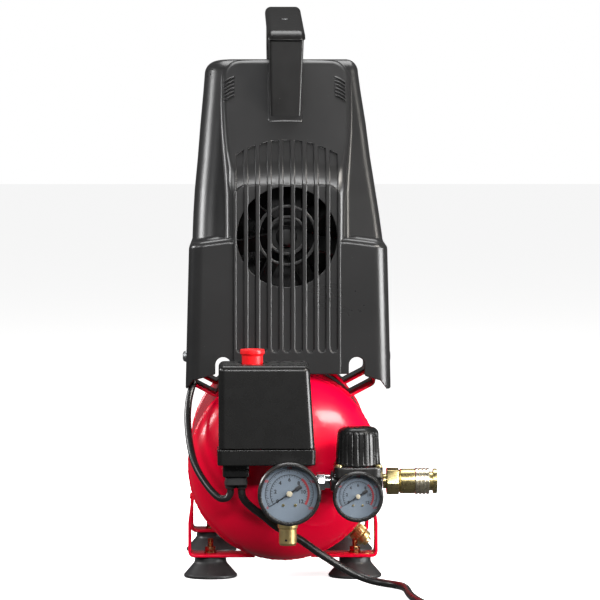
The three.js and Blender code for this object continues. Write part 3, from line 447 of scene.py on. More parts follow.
def field_mesh(name, field, xs, ys, zs):
    """Closed surface where the field is zero, its corners moved onto it and shaded by its slope."""
    value = np.array(np.broadcast_to(
        field(xs[:, None, None], ys[None, :, None], zs[None, None, :]), (len(xs), len(ys), len(zs))), np.float32)
    inside = value < 0
    size = np.array(value.shape) - 1
    cells, points, quads = [], [], []
    lines = (xs, ys, zs)
    for axis in range(3):
        low = [slice(None)] * 3
        high = [slice(None)] * 3
        low[axis], high[axis] = slice(0, -1), slice(1, None)
        low, high = tuple(low), tuple(high)
        hit = np.argwhere(inside[low] != inside[high])
        if not len(hit):
            continue
        start = value[low][tuple(hit.T)]
        end = value[high][tuple(hit.T)]
        t = start / (start - end)
        where = np.stack([lines[k][hit[:, k]] for k in range(3)], 1)
        here = lines[axis]
        where[:, axis] += t * (here[hit[:, axis] + 1] - here[hit[:, axis]])
        a, b = [k for k in range(3) if k != axis]
        around = []
        for da, db in ((1, 1), (0, 1), (0, 0), (1, 0)):
            cell = hit.copy()
            cell[:, a] -= da
            cell[:, b] -= db
            around.append(cell)
        good = np.all([(c >= 0).all(1) & (c < size).all(1) for c in around], 0)
        ids = np.stack([(c[:, 0] * size[1] + c[:, 1]) * size[2] + c[:, 2] for c in around], 1)
        ids, where, start = ids[good], where[good], start[good]
        flip = (start < 0) ^ (axis == 1)
        ids_turned = np.where(flip[:, None], ids, ids[:, ::-1])
        quads.append(ids_turned)
        for k in range(4):
            cells.append(ids[:, k])
            points.append(where)
    cells, points = np.concatenate(cells), np.concatenate(points)
    unique, inverse = np.unique(cells, return_inverse=True)
    count = np.bincount(inverse).astype(float)
    verts = np.stack([np.bincount(inverse, points[:, k]) / count for k in range(3)], 1)
    faces = np.searchsorted(unique, np.concatenate(quads))

    def slope(p, h):
        made = []
        for k in range(3):
            step = np.zeros(3)
            step[k] = h
            ahead, behind = p + step, p - step
            made.append(field(*ahead.T) - field(*behind.T))
        return np.stack(made, 1) / (2 * h)

    for _ in range(3):
        g = slope(verts, 0.04)
        move = field(*verts.T) / np.maximum((g * g).sum(1), 0.2)
        verts = verts - np.clip(move, -0.5, 0.5)[:, None] * g
    normal = slope(verts, 0.12)
    normal /= np.maximum(np.linalg.norm(normal, axis=1, keepdims=True), 1e-9)
    mesh = bpy.data.meshes.new(name)
    mesh.vertices.add(len(verts))
    place = (verts - np.array(ORIGIN)) * MM
    mesh.vertices.foreach_set("co", place.astype(np.float32).ravel())
    mesh.loops.add(faces.size)
    mesh.loops.foreach_set("vertex_index", faces.astype(np.int32).ravel())
    mesh.polygons.add(len(faces))
    mesh.polygons.foreach_set("loop_start", np.arange(0, faces.size, 4, dtype=np.int32))
    mesh.update(calc_edges=True)
    mesh.validate()
    mesh.shade_smooth()
    mesh.normals_split_custom_set_from_vertices([tuple(n) for n in normal])
    return mesh


def moulded(name, field, lines, material, body="machine", replaces=()):
    return piece(name, field_mesh(name, field, *lines), material, body, replaces)


# -------- cords

CORD_D, LEAD_D = 6.5, 6.0
GLAND_EXIT = (-35.6, -189.0, 83.3)
LOOSE = [
    GLAND_EXIT, (-35.2, -188.8, 78), (-32.2, -187, 72.6), (-27, -184.4, 67.4), (-17.5, -180.8, 60),
    (-7, -177.6, 50.9), (3, -176.2, 45), (13.1, -176, 39.6), (31.3, -176, 26.9), (45.1, -176.6, 18.2),
    (59.3, -178, 10.4), (73.2, -181, 5.4), (83.5, -186, 3.8), (91.5, -193.5, 3.4), (97, -203.5, 3.4),
    (99.8, -216, 3.4), (100.8, -232, 3.4), (101.2, -250, 3.4), (102.2, -270, 3.4), (105, -296, 3.4),
    (110, -324, 3.4), (117, -354, 3.4), (123.6, -380, 3.4), (128, -402, 3.4)]
COIL_X, COIL_Y, COIL_OUT, COIL_PITCH = 84.0, -428.0, 44.5, 7.2


def coil_point(turns):
    """Down in a flat spiral for 2.5 turns, up half a turn, and out again above it."""
    inner = COIL_OUT - 2.5 * COIL_PITCH
    lift = min(max((turns - 2.42) / 0.46, 0), 1)
    rise = lift * lift * (3 - 2 * lift)
    radius = COIL_OUT - COIL_PITCH * turns if turns < 2.5 else inner + COIL_PITCH * max(turns - 3, 0)
    angle = -2 * math.pi * turns
    return (COIL_X + radius * math.cos(angle), COIL_Y + radius * math.sin(angle), 3.4 + 6.5 * rise)


COIL = [coil_point(k / 16) for k in range(0, 16 * 5 + 5)]
TAIL = [(70, -472.4, 9.9), (62, -475.7, 10.0), (55, -478.4, 10.6), (48, -481.2, 11.4), (40.3, -483, 12)]
mains_cord, mains_path = tube(
    "mains_lead", [*LOOSE, *COIL, *TAIL], CORD_D / 2, CORD_SHEATH,
    replaces=("mains_cord", "mains_cord_coil", "mains_cord_tail"), per_span=6)

MOTOR_LEAD = [
    (-44.8, -189, 83.3), (-45, -189, 79.6), (-47.6, -188.4, 76), (-53, -187, 75.2), (-60, -183, 80.4),
    (-69, -175, 91.8), (-74.8, -168, 102.5), (-78.2, -160, 114.5), (-80.2, -152, 127), (-81, -144, 141),
    (-80, -137, 154), (-77.2, -131, 166), (-74, -126, 177), (-67, -120, 192), (-58, -112, 206),
    (-45, -98, 220), (-34, -84, 238), (-30, -76, 248)]
tube("motor_supply_lead", MOTOR_LEAD, LEAD_D / 2, CORD_SHEATH, replaces=("motor_lead",))

# the plug, with its tapered and ringed strain relief
PLUG_Y, PLUG_Z = -483.0, 12.0


def plug_field(x, y, z):
    waist = np.interp(x, [-20, -14, -2, 6, 14, 18], [13.3, 13.5, 12.4, 12.2, 12.8, 9.6])
    body = meet(np.abs(y - PLUG_Y) - waist, np.abs(z - PLUG_Z) - np.interp(x, [-20, 10, 18], [11.7, 11.3, 8.6]), 6)
    body = meet(body, np.abs(x + 1) - 19, 3)
    grips = np.abs(np.mod(x + 1.6, 4.0) - 2.0) - 0.7
    grips = np.maximum(np.maximum(grips, np.abs(x - 3) - 9), 9.5 - np.abs(y - PLUG_Y))
    return without(body, np.maximum(grips, -(body + 0.8)), 0.4)


moulded("plug_body", plug_field, (grid((-22, 20, 0.6)), grid((-499, -467, 0.7)), grid((-1, 26, 0.7))),
        CORD_SHEATH, replaces=("mains_plug",))
relief = [(6.6, 16), (6.6, 18)]
for k in range(5):
    x = 18.4 + k * 4.2
    r = 6.4 - 0.45 * k
    relief += [(r, x), (r, x + 2.4), (r - 0.9, x + 2.8), (r - 0.9, x + 3.9)]
relief_piece = lathe("plug_relief", "x", [(0, 16), *relief, (4.0, 39.9), (0, 40)], (0, PLUG_Y, PLUG_Z),
                     CORD_SHEATH, round_by=0.25, sides=32)
blades = [prism(f"plug_blade_{n}", "x", box_outline(y - 0.8, y + 0.8, PLUG_Z - 3.2, PLUG_Z + 3.2), -37, -19,
                STEEL, "steel", bevel=0.35) for n, y in (("left", PLUG_Y - 6.4), ("right", PLUG_Y + 6.4))]
earth = lathe("plug_earth", "x", [(0, -39), (1.7, -38.6), (2.4, -37), (2.4, -19), (0, -19)],
              (0, PLUG_Y, PLUG_Z - 7), STEEL, sides=24)

# -------- tank, brackets and feet

TANK_R, TANK_WALL, TANK_HALF, HEAD_DEEP, TANK_Z = 80.0, 2.5, 129.0, 40.0, 98.0


def head_profile(sign):
    rim = sign * (TANK_HALF + 0.3)
    outer = [(TANK_R * math.sin(a), rim + sign * HEAD_DEEP * math.cos(a)) for a in np.linspace(0, math.pi / 2, 28)]
    inner = [((TANK_R - TANK_WALL) * math.sin(a), rim + sign * (HEAD_DEEP - TANK_WALL) * math.cos(a))
             for a in np.linspace(math.pi / 2, 0, 10)]
    return [*outer, *inner]


lathe("tank_shell", "y", [(TANK_R - TANK_WALL, -TANK_HALF), (TANK_R, -TANK_HALF), (TANK_R, TANK_HALF),
                          (TANK_R - TANK_WALL, TANK_HALF), (TANK_R - TANK_WALL, -TANK_HALF)],
      (0, 0, TANK_Z), RED_PAINT, replaces=("tank_barrel",), round_by=0, sides=160)


def ripple(turn, radius, station):
    return radius + 0.16 * math.sin(95 * turn) + 0.1 * math.sin(41 * turn)


for name, sign in (("front", -1), ("rear", 1)):
    lathe(f"tank_{name}_dome", "y", head_profile(sign), (0, 0, TANK_Z), RED_PAINT,
          replaces=(f"tank_{name}_head",), round_by=0, sides=160, angle=60)
    y = sign * TANK_HALF
    lathe(f"tank_{name}_weld", "y",
          [(TANK_R - 0.4, y - 3.2), (TANK_R + 0.7, y - 2.2), (TANK_R + 1.15, y), (TANK_R + 0.7, y + 2.2),
           (TANK_R - 0.4, y + 3.2)],
          (0, 0, TANK_Z), RED_PAINT, round_by=0.6, sides=288, wave=ripple, angle=80)
lathe("tank_port_boss", "y",
      [(6.9, -175), (12, -175), (13, -174), (13, -170), (15.5, -167.2), (15.5, -164), (6.9, -164)],
      (3, 0, 90), RED_PAINT, round_by=0.6, sides=48)


def strip_outline(path, thickness):
    left, right = [], []
    for i, point in enumerate(path):
        here = Vector(point)
        into = (here - Vector(path[max(i - 1, 0)])).normalized() if i else None
        out = (Vector(path[min(i + 1, len(path) - 1)]) - here).normalized() if i < len(path) - 1 else None
        along = ((into or out) + (out or into)).normalized()
        half = thickness / 2 / max(along.dot(out or into), 0.4)
        across = Vector((-along.y, along.x)) * half
        left.append(tuple(here + across))
        right.append(tuple(here - across))
    return left + right[::-1]


STRIP = 2.5
for end, y in (("front", -104), ("rear", 104)):
    for hand, side in (("left", -1), ("right", 1)):
        path = rounded([(76.9, 69.4), (79.75, 47.4), (79.75, 19.45), (24, 19.45)], [0, 6, 4.5, 0], 6)
        outline = [(side * u, v) for u, v in strip_outline(path, STRIP)]
        prism(f"bracket_{end}_{hand}", "y", outline, y - 16, y + 16, RED_PAINT, "red_paint",
              replaces=(f"foot_bracket_{end}_{hand}",), bevel=0.55, segments=3)
        bead = [(side * 78.4, y - 15 + 1.5 * k, 69.6 + 0.25 * (k % 2)) for k in range(21)]
        tube(f"bracket_weld_{end}_{hand}", bead, 1.3, RED_PAINT, per_span=2, sides=3)
        at = (side * 62, y, 0)
        lathe(f"foot_{end}_{hand}", "z",
              [(0, 17.9), (13.5, 17.9), (13.6, 13.6), (14.4, 12.2), (16.8, 9.4), (19.6, 6.2), (21.8, 3.6),
               (22.8, 2.6), (22.9, 1.0), (22, 0), (19, 0), (12, 3.3), (0, 4.2)], at, RUBBER,
              replaces=(f"suction_foot_{end}_{hand}",), round_by=0.7, sides=72)
        lathe(f"foot_washer_{end}_{hand}", "z", [(2.4, 20.8), (5.6, 20.8), (5.6, 21.8), (2.4, 21.8), (2.4, 20.8)],
              at, STUD_BRASS, round_by=0.15, sides=40)
        prism(f"foot_nut_{end}_{hand}", "z", hexagon(8.6, side * 62, y, 20), 21.8, 26.2, STUD_BRASS, "brass",
              bevel=0.45)
        thread = [(0, 20.4), (2.4, 20.4)]
        for k in range(7):
            z = 26.3 + k * 0.9
            thread += [(2.5, z), (2.15, z + 0.45)]
        lathe(f"foot_stud_{end}_{hand}", "z", [*thread, (2.3, 32.4), (1.8, 32.9), (0, 32.9)], at,
              STUD_BRASS, round_by=0, sides=28)

arc = [(81.8 * math.cos(math.radians(a)), TANK_Z + 81.8 * math.sin(math.radians(a)))
       for a in np.linspace(45.5, 134.5, 41)]
wing = rounded([(77.75, 203), (77.75, 167), arc[0], arc[1]], [0, 5, 5, 0], 6)[:-1]
SADDLE = [*wing, *arc[2:-2], *[(-u, v) for u, v in wing[::-1]]]
for end, y in (("front", -83), ("rear", 83)):
    prism(f"saddle_strip_{end}", "y", strip_outline(SADDLE, STRIP), y - 35, y + 35, RED_PAINT, "red_paint",
          replaces=(f"saddle_{end}",), bevel=0.5, segments=3)

# -------- shroud

SHROUD_X, AXIS_Z = 3.0, 292.5
GROOVE_PITCH, GROOVE_HALF = 9.9, 3.125
HOUSING_SHIFT = 1.2


def shroud_outer(x, y, z):
    wide = np.abs(x)
    heights = [140, 161, 290, 311, 332, 360, 389, 417, 432, 446, 460]
    left = -x - np.interp(z, heights, [84.5, 84, 81.4, 80.7, 79.5, 76.9, 74.6, 72.0, 70.8, 69.5, 68])
    right = x - np.interp(z, heights, [84.5, 84, 80.4, 77.8, 74.8, 70.9, 67.7, 63.8, 62.0, 60.8, 60])
    side = np.maximum(left, right)
    shoulder = (np.interp(z, [140, 290, 440, 460], [-134, -134, -72, -63.7]) - y) * 0.93
    back = y - np.interp(z, [140, 178, 380, 460], [150, 150, 147, 145])
    roof = (z - np.interp(y, [-200, -66, -40, 0, 40, 100, 160], [446, 445, 442, 430, 422.5, 413.5, 403.5])) * 0.96
    hood = meet(meet(meet(side, shoulder, np.where(x > 0, 7.0, 24.0)), back, 26), roof, 10)

    crowned = z + 0.0028 * x * x
    flank = (wide - np.interp(z, [300, 330, 345, 360, 380, 400, 450], [49.2, 49.5, 50.4, 52, 54, 55.2, 56])) * 0.98
    cap = (z - np.interp(y, [-200, -72, -40], [446, 444.8, 434])) * 0.97
    outline = meet(flank, cap, 17)
    slope = (-146 + (crowned - 348) * 0.742 - y) * 0.803
    face = meet(-146 - y, slope, 9)
    bonnet = meet(outline, face, np.interp(z, [345, 365], [8.0, 4.5]))
    bonnet = np.maximum(bonnet, y + 30)
    body = either(hood, bonnet, 4 * np.clip((436 - z) / 90, 0.05, 1))

    low_side = wide - np.interp(z, [140, 170, 288, 300], [87.5, 87.0, 84.0, 83.7])
    low = meet(meet(low_side, -145.7 - y, 13), y - 154, 12)
    ledge = z - 291.5 + 0.13 * np.maximum(wide - 51, 0)
    low = meet(low, ledge, 5)
    return either(body, low, 3.2 * np.clip((wide - 52) / 6, 0.02, 1))


def shroud_field(x, y, z):
    x = x - SHROUD_X
    wide = np.abs(x)
    outer = shroud_outer(x - HOUSING_SHIFT * np.clip((wide - 46) / 30, 0, 1), y, z)
    panel = meet(meet(wide - 45.2, z - 337, 11), -147.1 - y, 0.4)
    panel = np.maximum(panel, y + 138)
    skin = either(outer, panel, 0.25)
    shell = np.maximum(skin, -(outer + 3 + 0.9 * np.clip((54 - wide) / 4, 0, 1) * (y < -60)))

    from_axis = np.hypot(x, z - AXIS_Z)
    lane = x - GROOVE_PITCH * np.clip(np.round(x / GROOVE_PITCH), -4, 4)
    strip = np.abs(lane) - GROOVE_HALF
    low_end = np.where(z < 198.6, np.hypot(lane, z - 198.6) - GROOVE_HALF, strip)
    top_end = z - 374.3 + 0.0066 * x * x
    groove = np.maximum(np.maximum(low_end, top_end), -(skin + 1.5))
    groove = np.maximum(groove, y + 60)
    shell = without(shell, groove, 0.75)
    slot = np.maximum(meet(strip, from_axis - 42.4, 0.4), y + 125)
    shell = without(shell, slot, 0.3)
    hoop = np.minimum(np.abs(np.hypot(x, z - 294) - 24.6), np.abs(np.hypot(x, z - 294) - 15.6)) - 1.4
    hoop = meet(hoop, np.abs(y + 143.9) - 1.1, 0.4)
    shell = np.minimum(shell, hoop)

    from_rib = np.abs(x + 1.2) - 43.5
    bent = z + 0.25 * from_rib + 0.035 * np.maximum(from_rib, 0) ** 2
    rib = np.abs(np.mod(bent - 413 + 1.55, 3.1) - 1.55) - 0.6
    rib = np.maximum(np.maximum(rib, np.abs(bent - 420.75) - 9.3), np.abs(from_rib - 4.4) - 4.6)
    rib = meet(rib, np.maximum(skin - 1.35, y + 50), 0.4)
    shell = either(shell, rib, 0.1)
    collar = meet(meet(np.abs(x + 0.8) - 14.6, np.abs(y + 99) - 15.6, 2), skin - 0.7, 0.4)
    shell = either(shell, np.maximum(collar, y + 60), 0.2)

    drop = np.where(y < 0, np.interp(wide, [60, 79, 84.5], [0, 5.5, 12.9]), np.interp(wide, [79, 80], [0, 12.9]))
    shell = meet(shell, (176.6 - drop - z) * 0.9, 0.5)
    centre = np.where(x > 0, 59, 54)
    notch = np.where(z < 184.5, np.abs(wide - centre) - 6.5, np.hypot(wide - centre, z - 184.5) - 6.5)
    return without(shell, np.maximum(notch, y + 125), 0.5)


SHROUD_LINES = (
    grid((-88, -58, 2.2), (-58, -50, 0.8), (-50, 56, 0.5), (56, 64, 0.8), (64, 94, 2.2)),
    grid((-150, -139, 0.55), (-139, -104, 0.7), (-104, -84, 0.65), (-84, -66, 1.3), (-66, 130, 3.0),
         (130, 158, 1.5)),
    grid((160, 194, 1.3), (194, 204, 0.8), (204, 248, 2.0), (248, 338, 0.9), (338, 380, 1.0), (380, 399, 1.8),
         (399, 432, 0.55), (432, 451, 0.9)))
moulded("shroud_cover", shroud_field, SHROUD_LINES, SHROUD_PLASTIC, replaces=("shroud",))

for hand, side in (("left", -1), ("right", 1)):
    for end, y in (("front", -104), ("rear", 104)):
        proud = 1.0 if (hand, end) == ("left", "front") else 0.45
        x = SHROUD_X + side * 86.2 + HOUSING_SHIFT
        out = [(0, -0.6), (4.8, -0.6), (4.8, 1.0), (4.1, 2.4 * proud + 0.4), (2.4, 3.2 * proud + 0.4),
               (1.9, 3.3 * proud + 0.3), (1.2, 2.2 * proud), (0, 2.2 * proud)]
        profile = [(r, x + side * s) for r, s in out]
        lathe(f"side_screw_{end}_{hand}", "x", profile, (0, y, 189.5), STEEL, round_by=0.2, sides=40)

lathe("fan_hub_cap", "y",
      [(0, -134.6), (6.4, -134.4), (8.6, -132.6), (9, -130.6), (9, -126), (7, -126), (6.9, -130), (0, -130)],
      (SHROUD_X, 0, AXIS_Z), FAN_PLASTIC, "rotor", sides=48)

# -------- carrying handle

SLOPE = 0.1353


def grip_top(y):
    return 468.2 + SLOPE * (y + 108)


def grip_seam(y):
    return 458.8 + SLOPE * (y + 117)


HANDLE_SIDE = [
    (-112.6, 388.8), (-86, 426), (-86, 440), (-83.5, 446), (-77, grip_top(-77) - 24.6),
    (48, grip_top(48) - 24.6), (56, grip_top(56) - 26.6), (61, grip_top(61) - 34.6), (62, 419.3),
    (97, 414.1), (97, 500), (-114.5, 500)]


def handle_frame_field(x, y, z):
    x = x - SHROUD_X
    outline = inside_outline(y, z, rounded(HANDLE_SIDE, [0, 0, 3, 6, 8, 6, 6, 5, 0, 0, 0, 0], 4, True))
    front = (-113.2 - (z - 395) * 0.014) - y
    centre = np.interp(z, [385, 460], [-0.9, 0])
    body = meet(outline, np.abs(x - centre) - np.interp(z, [385, 460, 500], [12.8, 15.0, 15.0]), 2.6)
    body = meet(body, front, 3.2)
    roof = z - 459 - SLOPE * (y + 117)
    return meet(body, roof * 0.99, 0.35)


def handle_cover_field(x, y, z):
    x = x - SHROUD_X
    side = np.abs(x) - np.interp(z, [455, 470], [16.3, 16.1])
    top = (z - grip_top(y)) * 0.991
    front = (-117 + 0.12 * (z - 460) - y)
    body = meet(meet(meet(top, front, 10), y - 98, 8), side, 5.2)
    body = meet(body, (grip_seam(y) + 0.25 - z) * 0.991, 0.5)
    well = np.hypot(x, y + 15) - 4.2
    return without(body, np.maximum(well, grip_top(y) - 3.2 - z), 0.6)


moulded("handle_lower", handle_frame_field,
        (grid((-14, 20, 0.8)), grid((-118, -74, 0.9), (-74, 44, 2.4), (44, 100, 1.2)),
         grid((384, 440, 1.4), (440, 492, 0.9))),
        HANDLE_PLASTIC, replaces=("handle_frame",))
moulded("handle_upper", handle_cover_field,
        (grid((-15, 21, 0.7)),
         grid((-120, -96, 0.7), (-96, -22, 1.6), (-22, -8, 0.6), (-8, 84, 2.0), (84, 101, 0.8)),
         grid((456, 499, 0.7))), HANDLE_PLASTIC, replaces=("handle_cover",))
tilt = Matrix.Rotation(math.atan(SLOPE), 3, "X")
lathe("handle_screw", "z",
      [(0, -3.1), (3.8, -3.1), (3.8, -1.0), (3.4, -0.5), (2.4, -0.3), (1.4, -0.5), (1.2, -1.4), (0, -1.6)],
      (SHROUD_X, -15, grip_top(-15)), STEEL, round_by=0.2, sides=36, matrix=tilt)

# -------- pressure switch

SWITCH_X = -15.0


def switch_cover_field(x, y, z):
    wide = np.maximum(-54.8 - x, x - np.interp(z, [118, 188], [25.2, 20.8]))
    front = np.interp(z, [118, 188], [-212.6, -209.8]) - y
    back = y - np.interp(z, [118, 188], [-171.4, -173])
    top = (z - 187.2 - 0.075 * (y + 211)) * 0.997
    body = meet(meet(meet(wide, front, 5.5), back, 5), top, 4.6)
    dish = np.maximum(np.hypot(x + 26.5, y + 187.5) - 12.4, 187.2 + 0.075 * (y + 211) - 0.5 - z)
    body = without(body, dish, 0.3)
    body = without(body, np.maximum(np.hypot(x + 26.5, y + 187.5) - 9.6, 172 - z), 0.4)
    return meet(body, 118.45 - z, 0.5)


def switch_base_field(x, y, z):
    wide = np.abs(x - SWITCH_X) - np.interp(z, [104, 118], [40.6, 41])
    body = meet(meet(meet(wide, -213.2 - y, 4.5), y + 170.9, 4), np.abs(z - 111.35) - 6.65, 0.9)
    outlet = meet(meet(np.abs(x + 40.3) - 11, np.abs(y + 189) - 12, 2.5), np.abs(z - 101) - 7.0, 0.8)
    return either(body, outlet, 0.8)


moulded("switch_lid", switch_cover_field,
        (grid((-58, 28, 0.9)), grid((-215, -169, 0.8)), grid((117, 123, 0.6), (123, 178, 2.5), (178, 192, 0.6))),
        SWITCH_PLASTIC, replaces=("switch_cover",))
moulded("switch_tray", switch_base_field,
        (grid((-58, 28, 0.9)), grid((-215, -169, 0.9)), grid((92, 119.5, 0.6))),
        SWITCH_PLASTIC, replaces=("switch_base",))


def lid_grips(turn, radius, station):
    notched = station > 196 and radius > 9.9 and math.cos(9 * turn) > 0.93
    return radius - (0.35 if notched else 0)


lathe("power_button", "z",
      [(0, 198.4), (6.2, 198.4), (7.0, 200.2), (9.7, 200.2), (10.2, 199.6), (10.2, 196.2), (9.4, 195.9),
       (8.8, 194.6), (8.8, 179.5), (0, 179.5)], (-26.5, -187.5, 0), RED_PLASTIC, "power_knob",
      replaces=("switch_knob",), round_by=0.35, sides=64, wave=lid_grips)


def gland_field(x, y, z):
    block = meet(meet(np.abs(x + 40.2) - 9.2, np.abs(y + 189) - 9, 3), np.abs(z - 90.3) - 3.4, 0.8)
    for at in (-44.8, -35.6):
        sleeve = meet(np.hypot(x - at, y + 189) - np.interp(z, [83, 88], [4.1, 5.0]), np.abs(z - 87) - 3.3, 0.6)
        block = either(block, sleeve, 0.8)
    return block


moulded("cable_boot", gland_field, (grid((-51, -29, 0.5)), grid((-200, -178, 0.6)), grid((82, 95, 0.5))),
        RUBBER, replaces=("cable_gland",))

# -------- pipework

PIPE_Y, PIPE_Z = -191.0, 90.0


def manifold_field(x, y, z):
    block = meet(meet(np.abs(x - 3) - 12, np.abs(y + 190) - 12, 2.5), np.abs(z - 86.1) - 18.1, 1.2)
    front = meet(np.hypot(x - 3.6, z - 83) - 8, np.abs(y + 202) - 11, 0.8)
    below = meet(np.hypot(x - 3, y + 191) - 9.5, np.abs(z - 68.2) - 4.2, 0.8)
    return either(either(block, front, 1.2), below, 1)


moulded("manifold_block", manifold_field, (grid((-11, 17, 0.7)), grid((-215, -176, 0.8)), grid((63, 106, 0.8))),
        BLACK_METAL, replaces=("manifold",))
lathe("tank_nipple_pipe", "y", [(0, -177.6), (6.3, -177.6), (6.5, -176), (6.5, -152), (0, -152)], (3, 0, 90),
      STEEL, replaces=("tank_nipple",), sides=40)
lathe("relief_valve", "z",
      [(0, 63.6), (8.6, 63.6), (8.6, 52.6), (8.4, 52.2), (8.4, 51.2), (7.4, 50.2), (7.4, 38.2), (6.5, 36.4),
       (4.6, 36.4), (4.2, 37), (0, 37)], (3, PIPE_Y, 0), VALVE_BRASS, replaces=("safety_valve",), sides=64,
      round_by=0.25)
# A black disc stands where the valve's small bleed hole is: painted shade of the hole's inside, as no hole is cut.
lathe("relief_valve_hole_shade_disc", "y", [(0, -7.45), (1.0, -7.45), (1.0, -6.2), (0, -6.2)], (3 - 1.6, PIPE_Y, 41),
      BLACK_METAL, sides=24, round_by=0.1)

prism("outlet_union_nut", "x", hexagon(13.6, PIPE_Y, PIPE_Z, 12), 26.8, 34, CHROME, "chrome", bevel=0.7, segments=3,
      replaces=("outlet_nipple",))
lathe("outlet_union", "x", [(0, 15.4), (5.4, 15.4), (5.4, 18.4), (6.3, 18.8), (6.3, 20.4), (5.4, 20.8), (5.4, 33),
                            (6.4, 34.2), (6.4, 38.4), (0, 38.4)], (0, PIPE_Y, PIPE_Z), CHROME, sides=48)

REG_X = 61.5


def regulator_field(x, y, z):
    away = np.hypot(x - REG_X, y - PIPE_Y)
    bowl = meet(away - np.interp(z, [60, 64, 74, 96], [9, 13, 17, 17]), np.abs(z - 78) - 18, 1.5)
    ports = meet(np.hypot(y - PIPE_Y, z - PIPE_Z) - 8.9, np.abs(x - 60.3) - 21.5, 1)
    front = meet(np.hypot(x - 60.3, z - 80.5) - 7.5, np.abs(y + 201.5) - 10.6, 0.8)
    flange = meet(meet(np.abs(x - REG_X) - 20.4, np.abs(y - PIPE_Y) - 18.9, 8), np.abs(z - 98.2) - 4.6, 1.2)
    body = either(either(bowl, ports, 2), front, 1.5)
    body = either(body, flange, 1.5)
    return without(body, np.maximum(away - 5.4, 94 - z), 0.3)


moulded("regulator_casting", regulator_field,
        (grid((37, 84, 0.8)), grid((-214, -170, 0.8)), grid((59, 104, 0.8))), BLACK_METAL,
        replaces=("regulator_body",))
for k, (dx, dy) in enumerate(((-15.6, -14), (15.6, -14), (15.6, 14), (-15.6, 14))):
    lathe(f"bonnet_screw_{k}", "z", [(0, 102.6), (3.0, 102.6), (3.0, 104.2), (2.2, 105), (0, 105.1)],
          (REG_X + dx * 1.06, PIPE_Y + dy, 0), BRASS, round_by=0.2, sides=32)


def ribs(turn, radius, station):
    if radius < 12 or station < 104.6 or station > 131.4:
        return radius
    return radius - 0.75 * max(0.0, math.cos(24 * turn)) ** 3


lathe("adjuster_cap", "z",
      [(5.4, 104), (14.5, 104), (15.5, 103.4), (18.7, 103.4), (18.8, 104.4), (18.6, 106), (18.1, 118),
       (17.4, 129.4), (17.2, 130.6), (16.9, 131.7), (16.1, 133.1), (14.4, 134.6), (11.6, 135.5), (6.6, 135.9),
       (0, 136)], (REG_X, PIPE_Y, 0),
      SWITCH_PLASTIC, "adjuster_knob", replaces=("regulator_knob",), round_by=0.35, sides=384,
      wave=ribs, angle=28)

prism("coupler_nut", "x", hexagon(20.6, PIPE_Y, PIPE_Z, 8), 85.1, 95.5, BRASS, "brass", bevel=0.9,
                segments=3, replaces=("coupler_body",))
lathe("coupler_thread", "x", [(0, 82.4), (6.2, 82.4), (6.2, 85.4), (0, 85.4)], (0, PIPE_Y, PIPE_Z), BRASS,
      sides=40)
lathe("coupler_barrel", "x",
      [(5.2, 99), (5.2, 127.4), (8.6, 127.6), (10.4, 127.2), (10.4, 124), (7.9, 123.8), (7.9, 108.8), (10.4, 108.8),
       (10.4, 97), (9.6, 96.4), (9.2, 95.2), (5.2, 95.2), (5.2, 99)], (0, PIPE_Y, PIPE_Z), BRASS, sides=80)
sleeve = [(8.2, 109.1), (10.6, 109.1), (11, 109.5)]
for x in (111.2, 114.4, 117.6):
    sleeve += [(11, x), (10.4, x + 0.35), (10.4, x + 1.0), (11, x + 1.35)]
lathe("coupler_collar", "x", [*sleeve, (11, 120.5), (10.6, 120.9), (8.2, 120.9), (8.2, 109.1)], (0, PIPE_Y, PIPE_Z),
      SLEEVE_METAL, "sleeve", replaces=("coupler_sleeve",), round_by=0.15, sides=80)

# -------- gauges


def text_mesh(words, size, x, y, z):
    """A short flat number facing the front, as vertices and faces in millimetres."""
    data = bpy.data.curves.new("figure", "FONT")
    data.body, data.size, data.extrude = words, size, 0.05
    data.align_x, data.align_y = "CENTER", "CENTER"
    data.resolution_u = 2
    data.offset = 0.035 * size
    made = shown("figure", data)
    bpy.context.view_layer.update()
    flat = bpy.data.meshes.new_from_object(made.evaluated_get(bpy.context.evaluated_depsgraph_get()))
    verts = [(x + v.co.x, y - v.co.z, z + v.co.y) for v in flat.vertices]
    faces = [list(p.vertices) for p in flat.polygons]
    bpy.data.objects.remove(made)
    bpy.data.meshes.remove(flat)
    return verts, faces


def wedge(cx, cz, y, r0, r1, a0, a1, steps=1, thick=0.12):
    """A thin raised mark between two radii and two angles, degrees from straight right."""
    verts, faces = [], []
    for k in range(steps + 1):
        a = math.radians(a0 + (a1 - a0) * k / steps)
        for r in (r0, r1):
            for depth in (0, -thick):
                verts.append((cx + r * math.cos(a), y + depth, cz + r * math.sin(a)))
    for k in range(steps):
        a, b = 4 * k, 4 * k + 4
        for i, j in ((0, 2), (2, 3), (3, 1), (1, 0)):
            faces.append([a + i, a + j, b + j, b + i])
    faces += [[0, 1, 3, 2], [4 * steps, 4 * steps + 2, 4 * steps + 3, 4 * steps + 1]]
    return verts, faces


def gather(parts):
    verts, faces = [], []
    for some_verts, some_faces in parts:
        base = len(verts)
        verts += some_verts
        faces += [[base + i for i in face] for face in some_faces]
    return verts, faces


